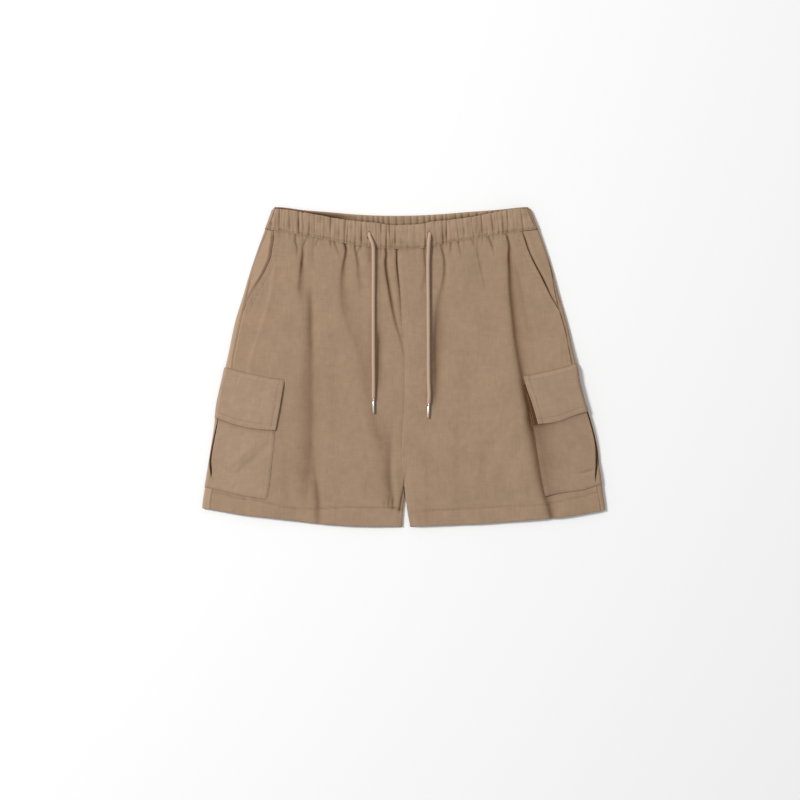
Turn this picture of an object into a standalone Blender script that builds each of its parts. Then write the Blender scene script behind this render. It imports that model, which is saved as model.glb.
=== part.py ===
"""Cargo shorts laid flat on their back, front up, waist towards +Y.

Two front panels, two back panels that wrap round the side folds, hip pocket
facings, a gathered waistband in two stretches, two cargo pockets with flaps,
and a drawstring with metal tips.  Left and right are the wearer's, so left
lies at +X.  Every number in a table is in millimetres; the floor is height 0.
"""
import math
from bisect import bisect_right

import bmesh
import bpy
from mathutils import Vector

MM = 0.001

# ------------------------------------------------------------ driving sizes
CLOTH = 1.3             # wall of the body panels
PATCH = 1.0             # wall of facings, pockets and flaps
SEAM = 0.3              # gap between neighbouring pieces
PATCH_GAP = 0.5         # gap between a patch and the cloth under it, on top
PILE = PATCH + SEAM     # height that each patch adds underneath
STEP_UP = PATCH + PATCH_GAP  # height that each patch adds on top

LOFT = 5.8              # outer height of the front over the floor, mid panel
SIDE_LOFT = 5.2         # the same beside the side folds
SIDE_SLOPE = 45.0       # stretch in which the front rises from there to LOFT
GATHER_LOFT = 1.9       # extra height under the waistband, where cloth bunches
GATHER_REACH = 28.0     # distance over which that extra height dies away
LEAST_LOFT = 3.4        # lowest that a crease may press the front
CREASE_FADE = 12.0      # last stretch of a crease, in which it dies away
CENTRE_DIP = 0.7        # depth of the groove along the centre front seam
CENTRE_DIP_WIDTH = 3.5  # half width of that groove
CROTCH = -105.0         # height on the drawing where the legs part
LEG_PART = 40.0         # stretch below the crotch in which their edges round off
INSEAM_LOFT = 4.2       # height of the front along the inner leg edges
INSEAM_ROLL = 11.0      # width over which the front rolls down to that edge
MOUTH_TOP = 176.0       # height of the slash pocket mouths' upper ends
MOUTH_END = 76.0        # height just below their lower ends
MOUTH_LIFT = 0.5        # the mouths' edges stand this much proud
MOUTH_LIFT_WIDTH = 9.0  # distance across over which that dies away
MOUTH_LIFT_GROWTH = 30.0  # stretch above the lower end in which it grows

ROLL = 2.8              # half width of the round at a side fold
ROLL_CLOTH = 4.6        # cloth taken by a quarter of that round
ROLL_STEPS = 6          # facets round a side fold

BAND_UNDER = 4.8        # waistband front: height of its plain inside
BAND_OVER = 7.4         # waistband front: height of its deepest gather valleys
BAND_PUFF = 1.1         # a gather's outer height over that, before pinching
BAND_SWELL = 0.3        # extra height of the cloth between two wide gathers
BAND_WIDE = 14.0        # spacing at which gathers swell fully
BAND_BACK = 2.7         # waistband back: wall at the gather valleys
BAND_BACK_PUFF = 0.55   # usual height of the back's gathers over the valleys
BAND_SIDE_PUFF = 0.5    # the same where the band rounds its side folds
BAND_EDGE_DROP = 0.75   # the band's long edges are this much thinner
BAND_BACK_WAVES = (0.35, 0.2)  # unevenness of those gathers
BAND_ROLL = 3.5         # half width of the round at the waistband's sides
BAND_REACH = 168.0      # half width of the band at its top edge
BACK_RISE = 13.0        # how much higher the waist seam runs at centre back
BACK_HALF_WIDTH = 176.0 # half width over which that rise dies away

HEM_EXTRA = 0.5         # extra wall where the hem is turned up
HEM_DEPTH = 24.0        # height of the turned-up hem
HEM_STEP = 3.0          # stretch in which the wall thins out above it

FACING_DROP = 2.1       # the facing lies this far below the mouth's surface
FACING_SHOW = 2.0       # stretch beyond the mouth edge that stays low
FACING_RISE = 6.0       # stretch in which it climbs to the side seam
FACING_UNDERLAP = 10.0  # facing hidden under the front panel

POCKET_BACK = 82.0      # width of each cargo pocket's hidden back half
POCKET_TOP_DROP = 11.0  # pocket mouth below the flap's top edge
FLAP_BACK = 84.0        # width of each flap's hidden back half
FLAP_FRONT_DROP = 8.0   # a row's front edge is read this far below its outer end
POCKET_FRONT_DROP = 17.0  # the same for the pocket, whose rows slant more
POCKET_MARGIN = 10.0    # the back stays lifted this far round the pocket
FLAP_MARGIN = 24.0      # and this far round the flap
RIDE_FALL = 40.0        # stretch in which the back comes down from there
FOLD_MARGIN = 6.0       # the side fold stays drawn in this far round a patch
FOLD_FALL = 45.0        # stretch in which it comes out again
FLAP_EDGE_MARGIN = 9.0  # the pocket stays lifted this far round the flap
FLAP_EDGE_FALL = 20.0   # stretch in which the pocket comes down from there
PLEAT_DEPTH = 0.65      # depth of the pleat groove in a pocket's wall
PLEAT_LIP = 1.6         # distance from the groove to its full lips
PLEAT_SHOULDER = 3.5    # distance from the groove to the first plain column

CORD = 4.6              # drawstring diameter
TIP = 3.0               # drawstring tip diameter
TIP_LENGTH = 18.5
BUTTONHOLE_WIDTH = 6.4
BUTTONHOLE_LENGTH = 11.5
BUTTONHOLE_FLOOR = 5.6  # height of the recess floor in the band's wall
BUTTONHOLE_CUT = 10.0   # length of the cutters that make the recesses
CORD_CROWDING = 1.35    # how much closer those lie near the buttonhole

SIDES = {"right": -1.0, "left": 1.0}

# ------------------------------------------------------------------- tables
# Outline of the laid garment: how far each side fold reaches.
# columns: height, right, left
OUTLINE = [
    (204.0, 167.5, 161.5),
    (177.5, 176.5, 171.5),
    (153.0, 185.5, 180.5),
    (122.0, 196.0, 190.5),
    (91.5, 205.0, 198.5),
    (61.0, 214.5, 207.5),
    (30.0, 221.5, 215.0),
    (-0.5, 230.5, 223.0),
    (-46.5, 239.5, 234.0),
    (-77.5, 243.0, 241.0),
    (-108.0, 247.0, 248.0),
    (-139.0, 252.0, 252.5),
    (-169.5, 257.0, 256.5),
    (-181.0, 258.0, 258.0),
]

# Seam between band and panels, across the front.  columns: across, height
WAIST_SEAM = [
    (-177.0, 177.5), (-150.0, 173.3), (-120.0, 167.9), (-95.0, 163.4),
    (-70.0, 158.6), (-45.0, 155.0), (-18.0, 152.6), (15.0, 152.3),
    (33.0, 154.3), (52.0, 158.6), (78.0, 163.3), (104.0, 167.8),
    (130.0, 172.3), (155.0, 175.5), (172.0, 177.5),
]

# Top edge of the front band and of the back band.  columns: across, height
BAND_TOP_FRONT = [
    (-168.0, 203.0), (-153.0, 202.2), (-133.0, 199.0), (-107.0, 194.6),
    (-87.0, 190.7), (-56.0, 186.9), (-31.0, 184.3), (-15.0, 181.9),
    (0.0, 182.2), (23.0, 183.7), (33.0, 186.0), (59.0, 188.8),
    (84.0, 192.0), (110.0, 197.1), (136.0, 202.2), (162.0, 203.6),
]
BAND_TOP_BACK = [
    (-168.0, 204.2), (-157.0, 204.0), (-128.0, 200.3), (-97.0, 197.8),
    (-67.0, 195.2), (-36.0, 193.5), (15.0, 193.5), (46.0, 195.8),
    (77.0, 199.0), (107.0, 200.3), (128.0, 201.6), (148.0, 203.8),
    (162.0, 204.5),
]

# Lower edge of both legs.  columns: across, height
HEM = [
    (-258.0, -180.0), (-247.0, -181.8), (-210.0, -188.0), (-179.0, -191.6),
    (-138.0, -196.5), (-112.0, -199.7), (-82.0, -202.2), (-56.0, -203.4),
    (-2.6, -203.5), (7.7, -203.3), (61.0, -201.7), (97.0, -200.2),
    (128.0, -198.0), (179.0, -193.9), (200.0, -192.0), (230.0, -187.6),
    (251.0, -183.7), (258.0, -181.5),
]

# Centre seam, then the inner leg edges.
# columns: height, right panels' edge, left panels' edge (both across)
INNER_EDGE = [
    (172.0, -8.3, -8.3),
    (150.0, -8.4, -8.4),
    (135.0, -8.9, -8.9),
    (118.0, -7.4, -7.4),
    (99.0, -5.6, -5.6),
    (61.0, -3.4, -3.4),
    (22.0, -0.2, -0.2),
    (3.0, 1.0, 1.0),
    (-35.0, 0.8, 0.8),
    (-52.0, 0.4, 0.4),
    (-80.0, -2.0, -2.0),
    (-128.0, -2.2, -2.2),
    (-144.0, -0.6, -0.6),
    (-157.0, 0.5, 0.7),
    (-166.0, 0.5, 1.9),
    (-173.0, -0.4, 2.7),
    (-183.0, -1.4, 3.9),
    (-203.5, -2.6, 7.7),
]

# Side seam: cloth between the crown of the side fold and the seam.
# columns: height, right, left
SIDE_SEAM = [
    (177.0, 5.4, 0.0),
    (154.0, 4.8, 0.3),
    (135.0, 4.2, 1.7),
    (118.0, 5.0, 3.6),
    (93.0, 6.4, 6.2),
    (67.0, 7.5, 7.6),
    (35.0, 7.4, 8.6),
    (16.0, 9.0, 8.6),
    (0.0, 11.2, 8.0),
    (-185.0, 12.8, 7.6),
]

# Edge of the slash pocket mouths.  columns: height, right, left (outward)
MOUTH = [
    (176.0, 167.0, 149.8),
    (163.0, 167.0, 154.0),
    (153.0, 169.0, 157.2),
    (141.5, 171.5, 162.0),
    (132.5, 175.5, 166.2),
    (118.5, 181.8, 173.8),
    (104.0, 189.8, 180.8),
    (90.0, 197.4, 187.8),
    (78.0, 203.0, 195.0),
]

# Cargo flaps and pockets.  Edges across: columns outward, height.
FLAP_TOP = {
    "right": [(152.0, -15.4), (178.0, -11.5), (197.0, -7.7), (210.0, -4.5), (228.0, 0.6)],
    "left": [(153.0, -10.9), (168.0, -7.7), (187.0, -3.7), (206.0, 1.3), (220.0, 6.0)],
}
FLAP_BOTTOM = {
    "right": [(164.0, -80.4), (187.0, -78.7), (203.0, -76.2), (220.0, -71.7), (242.0, -63.4)],
    "left": [(172.0, -72.3), (187.0, -71.0), (200.0, -68.0), (216.0, -62.1), (233.0, -56.4)],
}
POCKET_BOTTOM = {
    "right": [(176.0, -169.0), (203.0, -165.0), (229.0, -158.8), (254.0, -153.3)],
    "left": [(181.0, -165.1), (203.0, -160.6), (229.0, -156.8), (251.0, -149.6)],
}
# Front edges up and down: columns height, right, left (outward)
FLAP_FRONT = [
    (-12.0, 152.0, 153.5),
    (-29.0, 154.6, 158.7),
    (-45.0, 157.4, 164.5),
    (-61.0, 160.2, 169.0),
    (-80.0, 163.8, 174.0),
]
POCKET_FRONT = [
    (-20.0, 158.0, 152.5),
    (-47.0, 161.5, 158.8),
    (-82.0, 166.0, 166.5),
    (-106.0, 168.4, 170.0),
    (-130.0, 170.8, 174.0),
    (-150.0, 173.0, 177.3),
    (-168.0, 176.0, 180.8),
]
# Slit of the pocket's side pleat: cloth from the crown of the side fold.
# columns: height, right, left
PLEAT = [
    (-20.0, 4.0, 3.2),
    (-74.0, 4.4, 2.6),
    (-92.0, 3.1, 2.6),
    (-106.0, 2.4, 2.7),
    (-118.0, 2.4, 3.4),
    (-128.0, 4.0, 4.4),
    (-155.0, 4.6, 4.6),
]

# Gathers of the front band.  columns: across at top, across at bottom, depth
BAND_GATHERS = [
    (-160.5, -159.5, 0.6), (-154.0, -156.0, 0.8), (-148.0, -147.5, 0.5),
    (-142.5, -144.0, 0.5), (-135.7, -135.7, 1.0), (-129.3, -129.3, 0.7),
    (-121.5, -122.5, 0.8), (-115.5, -115.5, 0.7), (-107.5, -107.5, 0.6),
    (-101.0, -102.5, 0.6), (-94.3, -95.0, 1.1), (-88.5, -87.5, 0.5),
    (-81.0, -83.0, 0.7), (-75.0, -76.5, 1.0), (-71.0, -70.5, 0.8),
    (-62.0, -63.0, 0.8), (-54.5, -55.0, 1.0), (-47.4, -47.0, 0.6),
    (-36.0, -35.5, 0.6), (-29.5, -29.5, 0.9), (-22.5, -22.5, 1.0),
    (-16.5, -16.5, 0.6), (-10.5, -7.5, 0.7), (4.0, 4.0, 0.35),
    (13.0, 13.0, 0.3), (26.5, 26.5, 1.1), (37.5, 39.5, 0.7),
    (47.5, 49.0, 0.9), (54.4, 54.8, 0.9), (65.5, 68.5, 0.6),
    (74.5, 76.0, 0.5), (85.5, 90.0, 0.9), (97.5, 100.5, 0.9),
    (104.0, 105.5, 0.5), (110.5, 115.0, 0.8), (119.0, 121.0, 0.5),
    (124.5, 126.0, 0.5), (130.0, 133.5, 0.9), (138.0, 141.0, 0.5),
    (147.5, 152.0, 0.9), (155.0, 158.5, 0.6),
]
BAND_GATHERS_BACK = 42  # evenly uneven gathers of the back band

# Creases of the front.  columns: across and height at the top, middle and
# end of the crease, half width, depth at top, middle and end
CREASES = [
    (-160.0, 172.0, -161.0, 166.0, -162.0, 158.0, 3.0, 0.5, 0.3, 0.0),
    (-151.0, 170.5, -151.5, 164.0, -152.0, 156.0, 3.0, 0.6, 0.4, 0.0),
    (-138.9, 168.0, -137.0, 153.0, -137.6, 135.0, 3.2, 1.7, 1.1, 0.0),
    (-125.4, 166.0, -131.2, 135.0, -132.5, 90.0, 4.2, 2.1, 2.0, 0.0),
    (-116.5, 164.0, -116.5, 146.0, -116.5, 122.0, 3.2, 1.0, 0.6, 0.0),
    (-109.5, 163.0, -112.5, 155.0, -114.5, 145.0, 3.0, 1.1, 0.6, 0.0),
    (-120.0, 110.0, -121.5, 0.0, -124.0, -142.0, 9.0, 0.0, 1.6, 0.5),
    (-99.0, 161.0, -99.5, 154.0, -100.0, 146.0, 3.0, 0.8, 0.4, 0.0),
    (-88.3, 160.0, -85.0, 150.0, -80.5, 135.0, 3.0, 1.4, 0.9, 0.0),
    (-76.5, 158.5, -77.5, 132.0, -70.0, 60.0, 4.0, 2.2, 1.6, 0.0),
    (-62.0, 155.5, -60.5, 143.0, -60.0, 128.0, 3.2, 1.0, 0.7, 0.0),
    (-55.5, 154.5, -59.5, 124.0, -55.0, 86.0, 4.0, 1.2, 1.0, 0.0),
    (-43.5, 153.0, -43.5, 141.0, -43.0, 126.0, 3.0, 0.9, 0.6, 0.0),
    (-33.0, 152.0, -33.0, 144.0, -32.5, 134.0, 3.0, 0.8, 0.4, 0.0),
    (-23.4, 151.0, -20.5, 112.0, -3.0, 30.0, 4.2, 2.2, 1.7, 0.4),
    (-8.7, 150.5, -7.0, 110.0, -4.5, 48.0, 3.6, 2.1, 1.3, 0.2),
    (-12.0, -60.0, -19.5, -130.0, -13.0, -182.0, 4.5, 0.2, 1.7, 0.4),
    (-42.0, -66.0, -34.0, -86.0, -26.0, -100.0, 5.0, 0.2, 0.9, 0.2),
    (-119.0, -144.0, -110.0, -168.0, -112.5, -202.0, 4.0, 0.7, 0.9, 0.4),
    (-169.0, 114.0, -181.0, 58.0, -198.0, -2.0, 6.5, 0.0, -0.8, 0.0),
    (8.5, 151.0, 8.5, 140.0, 8.5, 120.0, 4.0, 0.6, 0.3, 0.0),
    (25.6, 150.5, 27.0, 134.0, 28.0, 112.0, 3.2, 1.5, 0.8, 0.0),
    (36.5, 153.0, 36.5, 144.0, 36.5, 132.0, 3.0, 0.9, 0.4, 0.0),
    (48.0, 154.5, 51.0, 128.0, 42.0, 70.0, 4.4, 2.1, 1.6, 0.1),
    (38.0, 84.0, 38.5, 20.0, 37.0, -56.0, 9.0, 0.1, 0.9, 0.0),
    (59.5, 157.5, 59.8, 147.0, 59.8, 136.0, 3.0, 1.5, 0.8, 0.0),
    (69.5, 159.0, 71.5, 149.0, 73.5, 138.0, 3.0, 1.1, 0.6, 0.0),
    (85.5, 163.0, 88.5, 156.0, 92.0, 148.0, 3.0, 1.0, 0.5, 0.0),
    (94.0, 164.5, 98.5, 126.0, 105.0, 96.0, 5.0, 0.9, 0.8, 0.0),
    (108.5, 167.0, 112.5, 155.0, 116.0, 142.0, 3.4, 1.9, 1.1, 0.0),
    (119.0, 168.5, 120.0, 162.0, 121.5, 154.0, 3.0, 0.8, 0.4, 0.0),
    (129.5, 171.0, 133.5, 112.0, 143.5, 10.0, 4.4, 2.4, 2.0, 0.0),
    (134.5, 110.0, 145.0, 0.0, 158.5, -76.0, 4.0, 0.0, 1.9, 0.8),
    (141.0, 130.0, 148.0, 92.0, 157.0, 44.0, 6.0, 0.2, 0.8, 0.0),
]

# Free runs of the drawstring: hand-placed points of each centre line.
# columns: across, height on the drawing, height over the floor
DRAWSTRING = {
    "right": [
        (-44.4, 170.8, 8.1), (-44.2, 168.6, 9.9), (-43.2, 165.6, 11.4),
        (-41.4, 161.6, 11.9), (-39.7, 156.6, 11.6), (-39.0, 150.0, 10.7),
        (-38.9, 137.0, 9.8), (-39.0, 110.0, 9.0), (-39.2, 70.0, 8.7),
        (-39.1, 22.0, 8.6), (-38.9, -18.0, 8.6), (-39.0, -40.0, 8.5),
    ],
    "left": [
        (32.9, 171.0, 8.1), (32.7, 168.6, 9.9), (32.4, 165.6, 11.4),
        (31.9, 161.0, 11.9), (31.6, 155.6, 11.6), (31.4, 149.0, 10.7),
        (30.8, 136.0, 9.8), (30.9, 110.0, 9.0), (31.2, 70.0, 8.7),
        (31.3, 22.0, 8.6), (31.6, -18.0, 8.6), (32.2, -35.0, 8.5),
        (31.6, -46.2, 8.5),
    ],
}
CORD_POINTS = 26        # points along each drawstring's tube

# Rows down the body from waist seam to hem, and the mesh steps of the patches
BODY_ROWS = [
    0.0, 0.016, 0.042, 0.08, 0.125, 0.175, 0.225, 0.275, 0.33,
    0.40, 0.475, 0.55, 0.625, 0.70, 0.775, 0.85, 0.92, 0.95, 1.0,
]
FACING_ROWS = 8         # rows of the body that reach past the pocket mouth
CREASE_STEP = 5.2       # usual mesh step between the front's creases
GATHERED = 145.0        # creases that start above this height meet the band


# ------------------------------------------------------------ small helpers
class Curve:
    """Smooth line through a table's rows, read by its first column."""

    def __init__(self, rows, column=1):
        ordered = sorted(rows)
        self.keys = [row[0] for row in ordered]
        self.values = [row[column] for row in ordered]
        self.slopes = self._slopes()

    def _slopes(self):
        chords = [
            (self.values[i + 1] - self.values[i]) / (self.keys[i + 1] - self.keys[i])
            for i in range(len(self.keys) - 1)
        ]
        inner = [(before + after) / 2 for before, after in zip(chords, chords[1:])]
        return [chords[0]] + inner + [chords[-1]]

    def __call__(self, key):
        if key <= self.keys[0]:
            return self.values[0] + self.slopes[0] * (key - self.keys[0])
        if key >= self.keys[-1]:
            return self.values[-1] + self.slopes[-1] * (key - self.keys[-1])
        i = bisect_right(self.keys, key) - 1
        span = self.keys[i + 1] - self.keys[i]
        t = (key - self.keys[i]) / span
        eased = ease(t)
        return (
            self.values[i] * (1 - eased)
            + self.values[i + 1] * eased
            + span * t * (1 - t) * (self.slopes[i] * (1 - t) - self.slopes[i + 1] * t)
        )


def per_side(rows):
    """The two curves of a table whose columns are height, right, left."""
    return {"right": Curve(rows, 1), "left": Curve(rows, 2)}


def mix(start, end, share):
    return start + (end - start) * share


def ease(share):
    share = min(max(share, 0.0), 1.0)
    return share * share * (3 - 2 * share)


def steps(start, end, count):
    """count + 1 even values from start to end."""
    return [mix(start, end, i / count) for i in range(count + 1)]


REACH = per_side(OUTLINE)
SEAM_CLOTH = per_side(SIDE_SEAM)
MOUTH_EDGE = per_side(MOUTH)
INNER = per_side(INNER_EDGE)
FLAP_FRONT_EDGE = per_side(FLAP_FRONT)
POCKET_FRONT_EDGE = per_side(POCKET_FRONT)
PLEAT_CLOTH = per_side(PLEAT)
FLAP_TOP_LINE = {side: Curve(FLAP_TOP[side]) for side in SIDES}
FLAP_BOTTOM_LINE = {side: Curve(FLAP_BOTTOM[side]) for side in SIDES}
POCKET_BOTTOM_LINE = {side: Curve(POCKET_BOTTOM[side]) for side in SIDES}
waist_seam = Curve(WAIST_SEAM)
hem = Curve(HEM)
band_top_front = Curve(BAND_TOP_FRONT)
band_top_back = Curve(BAND_TOP_BACK)


def back_seam(across):
    """Waist seam of the back, which rises above the front's at the centre."""
    rise = math.cos(math.pi / 2 * min(abs(across) / BACK_HALF_WIDTH, 1.0)) ** 2
    return waist_seam(across) + BACK_RISE * rise


# ------------------------------------------------------ heights of the pile
def flap_cover(side, outward, height, margin, fall):
    """1 over the flap's area, easing to 0 past a margin round it."""
    inside = min(
        FLAP_TOP_LINE[side](outward) - height,
        height - FLAP_BOTTOM_LINE[side](outward),
        outward - (REACH[side](height) - FLAP_BACK),
    )
    return ease(1 + (inside + margin) / fall)


def pocket_cover(side, outward, height, margin, fall):
    """1 over the cargo pocket's area, easing to 0 past a margin round it."""
    inside = min(
        FLAP_TOP_LINE[side](outward) - POCKET_TOP_DROP - height,
        height - POCKET_BOTTOM_LINE[side](outward),
        outward - (REACH[side](height) - POCKET_BACK),
    )
    return ease(1 + (inside + margin) / fall)


def underside(side, outward, height):
    """Lower face of the back: it rides over the patches' hidden halves."""
    pocket = pocket_cover(side, outward, height, POCKET_MARGIN, RIDE_FALL)
    flap = flap_cover(side, outward, height, FLAP_MARGIN, RIDE_FALL)
    return PILE * (pocket + flap)


def patch_width(side, height):
    """How far the patches push the outline out past the panel's own fold."""
    edge = REACH[side](height)
    pocket = pocket_cover(side, edge, height, FOLD_MARGIN, FOLD_FALL)
    flap = flap_cover(side, edge, height, FOLD_MARGIN, FOLD_FALL)
    return STEP_UP * (pocket + flap)


def roll_centre(side, height):
    """Outward place of the line about which the panel's side fold turns."""
    return REACH[side](height) - patch_width(side, height) - ROLL


class Crease:
    """A soft valley along a bent line, as deep and wide as its row says."""

    def __init__(self, row):
        (self.top_across, self.top, self.mid_across, self.mid,
         self.end_across, self.end, self.half_width,
         top_depth, mid_depth, end_depth) = row
        self.line = Curve([
            (self.end, self.end_across), (self.mid, self.mid_across),
            (self.top, self.top_across),
        ])
        self.depth = Curve([
            (self.end, end_depth), (self.mid, mid_depth), (self.top, top_depth),
        ])

    def __call__(self, across, height):
        if height < self.end:
            return 0.0
        inside = min(height, self.top)
        offset = (across - self.line(inside)) / self.half_width
        fade = ease((height - self.end) / CREASE_FADE)
        return self.depth(inside) * fade * math.exp(-offset * offset)


ALL_CREASES = [Crease(row) for row in CREASES]


def seam_outward(side, height):
    """Outward place of the side seam on top of the garment."""
    return roll_centre(side, height) + ROLL_CLOTH - SEAM_CLOTH[side](height)


def top_surface(across, height):
    """Outer height of the body's upper layer at a place on the drawing."""
    side = "left" if across > 0 else "right"
    outward = abs(across)
    inset = REACH[side](height) - outward
    loft = mix(SIDE_LOFT, LOFT, ease(inset / SIDE_SLOPE))
    below = max(waist_seam(across) - height, 0.0)
    loft += GATHER_LOFT * math.exp(-below / GATHER_REACH)
    loft -= sum(crease(across, height) for crease in ALL_CREASES)
    from_seam = abs(across - INNER[side](height))
    if height > CROTCH:
        loft -= CENTRE_DIP * math.exp(-((from_seam / CENTRE_DIP_WIDTH) ** 2))
    if height > MOUTH_END:
        from_mouth = (outward - MOUTH_EDGE[side](height)) / MOUTH_LIFT_WIDTH
        grown = ease((height - MOUTH_END) / MOUTH_LIFT_GROWTH)
        loft += MOUTH_LIFT * grown * math.exp(-(from_mouth ** 2))
    loft = max(loft, LEAST_LOFT)
    parted = ease((CROTCH - height) / LEG_PART)
    rolled = 1 - ease(from_seam / INSEAM_ROLL)
    loft = mix(loft, INSEAM_LOFT, parted * rolled)
    return loft + underside(side, outward, height)


def hem_share(across, height):
    """1 inside the turned-up hem, 0 above its stitching."""
    return 1 - ease((height - hem(across) - HEM_DEPTH) / HEM_STEP)


# ---------------------------------------------------------- building solids
def cloth_material(name, colour, roughness=0.92, metallic=0.0):
    material = bpy.data.materials.new(name)
    material.use_nodes = True
    shader = material.node_tree.nodes["Principled BSDF"]
    shader.inputs["Base Color"].default_value = (*colour, 1.0)
    shader.inputs["Roughness"].default_value = roughness
    shader.inputs["Metallic"].default_value = metallic
    material.diffuse_color = (*colour, 1.0)
    return material


def make_wall(name, columns, rows, outer, inner, material):
    """Closed cloth wall: a grid laid on outer(), extruded to inner().

    outer and inner turn a column number and a row number into a point in
    millimetres.
    """
    mesh = bpy.data.meshes.new(name)
    grid = bmesh.new()
    bmesh.ops.create_grid(grid, x_segments=columns, y_segments=rows, size=0.5)
    for vertex in grid.verts:
        column = round((vertex.co.x + 0.5) * columns)
        row = round((vertex.co.y + 0.5) * rows)
        vertex.co = Vector((column, row, 0.0))
    sheet = grid.faces[:]
    copied = bmesh.ops.extrude_face_region(grid, geom=sheet)["geom"]
    inside = {item for item in copied if isinstance(item, bmesh.types.BMVert)}
    for vertex in grid.verts:
        place = inner if vertex in inside else outer
        point = place(round(vertex.co.x), round(vertex.co.y))
        vertex.co = Vector(point) * MM
    bmesh.ops.recalc_face_normals(grid, faces=grid.faces[:])
    if grid.calc_volume(signed=True) < 0:
        bmesh.ops.reverse_faces(grid, faces=grid.faces[:])
    grid.to_mesh(mesh)
    grid.free()
    mesh.shade_smooth()
    mesh.set_sharp_from_angle(angle=math.radians(40))
    mesh.materials.append(material)
    piece = bpy.data.objects.new(name, mesh)
    bpy.context.collection.objects.link(piece)
    return piece


def settle(side, row_line, share):
    """Height on the drawing at which a row meets the fold's turning line."""
    height = row_line(SIDES[side] * REACH[side](0.0), share)
    for _ in range(6):
        height = row_line(SIDES[side] * roll_centre(side, height), share)
    return height


def wrapped_point(side, cloth, edge_height, row_height, over, under, grow, radius=ROLL):
    """Point of a layer that wraps a side fold.

    cloth is the distance from the fold's crown along the cloth, over the top
    when positive and under the garment when negative.  over and under give
    the layer's height there, grow how far it lies outside the panel's fold.
    """
    sign = SIDES[side]
    centre = roll_centre(side, edge_height) + ROLL - radius
    if abs(cloth) > ROLL_CLOTH:
        across = sign * (centre - abs(cloth) + ROLL_CLOTH)
        height = row_height(across, cloth > 0)
        level = over if cloth > 0 else under
        return (across, height, level(across, height))
    height = row_height(sign * centre, cloth > 0)
    top = over(sign * centre, height)
    low = under(sign * centre, height)
    middle = (top + low) / 2
    angle = cloth / ROLL_CLOTH * math.pi / 2
    across = sign * (centre + (radius + grow) * math.cos(angle))
    return (across, height, middle + (top - middle) * math.sin(angle))


# ------------------------------------------------------------------- pieces
def body_row(across, share, over=True):
    """Rows of the body run from just under the waist seam to the hem."""
    start = waist_seam(across) if over else back_seam(across)
    return mix(start - SEAM, hem(across), share)


def make_back(side, material):
    sign = SIDES[side]
    wrap_steps = 8
    under_steps = 9
    edges = [settle(side, body_row, share) for share in BODY_ROWS]

    def cloth_at(column, row):
        edge = edges[row]
        if column <= wrap_steps:
            return mix(SEAM_CLOTH[side](edge), -ROLL_CLOTH, column / wrap_steps)
        height = body_row(0.0, BODY_ROWS[row], over=False)
        outward = sign * INNER[side](height) + SEAM / 2
        full = roll_centre(side, edge) - outward
        return -ROLL_CLOTH - full * (column - wrap_steps) / under_steps

    def place(column, row, wall):
        share = BODY_ROWS[row]

        def over(across, height):
            thick = CLOTH + HEM_EXTRA * hem_share(across, height)
            return top_surface(across, height) - wall * thick

        def under(across, height):
            thick = CLOTH + HEM_EXTRA * hem_share(across, height)
            return underside(side, abs(across), height) + wall * thick

        return wrapped_point(
            side, cloth_at(column, row), edges[row],
            lambda across, top: body_row(across, share, top),
            over, under, -wall * CLOTH,
        )

    return make_wall(
        f"back_{side}", wrap_steps + under_steps, len(BODY_ROWS) - 1,
        lambda column, row: place(column, row, 0.0),
        lambda column, row: place(column, row, 1.0), material,
    )


def front_columns(side):
    """Shares across a front panel: a column in each crease and between them."""
    sign = SIDES[side]
    start = sign * MOUTH_EDGE[side](MOUTH_TOP)
    end = INNER[side](waist_seam(0.0)) + sign * SEAM / 2
    low, high = min(start, end), max(start, end)
    valleys = [
        row[0] for row in CREASES
        if row[1] > GATHERED and low + CLOTH < row[0] < high - CLOTH
    ]
    marks = sorted([start, end] + valleys, reverse=sign > 0)
    across = [marks[0]]
    for before, after in zip(marks, marks[1:]):
        count = 2 * max(1, round(abs(after - before) / (2 * CREASE_STEP)))
        across += steps(before, after, count)[1:]
    return [(place - start) / (end - start) for place in across]


def make_front(side, material):
    sign = SIDES[side]
    columns = front_columns(side)
    edges = [settle(side, body_row, share) for share in BODY_ROWS]

    def outer_edge(row):
        seam = seam_outward(side, edges[row]) - SEAM
        height = edges[row]
        for _ in range(6):
            height = body_row(sign * min(seam, MOUTH_EDGE[side](height)), BODY_ROWS[row])
        return sign * min(seam, MOUTH_EDGE[side](height))

    def inner_edge(row):
        height = body_row(0.0, BODY_ROWS[row])
        return INNER[side](height) + sign * SEAM / 2

    outer_edges = [outer_edge(row) for row in range(len(BODY_ROWS))]
    inner_edges = [inner_edge(row) for row in range(len(BODY_ROWS))]

    def place(column, row, wall):
        across = mix(outer_edges[row], inner_edges[row], columns[column])
        height = body_row(across, BODY_ROWS[row])
        thick = CLOTH + HEM_EXTRA * hem_share(across, height)
        return (across, height, top_surface(across, height) - wall * thick)

    return make_wall(
        f"front_{side}", len(columns) - 1, len(BODY_ROWS) - 1,
        lambda column, row: place(column, row, 0.0),
        lambda column, row: place(column, row, 1.0), material,
    )


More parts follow.
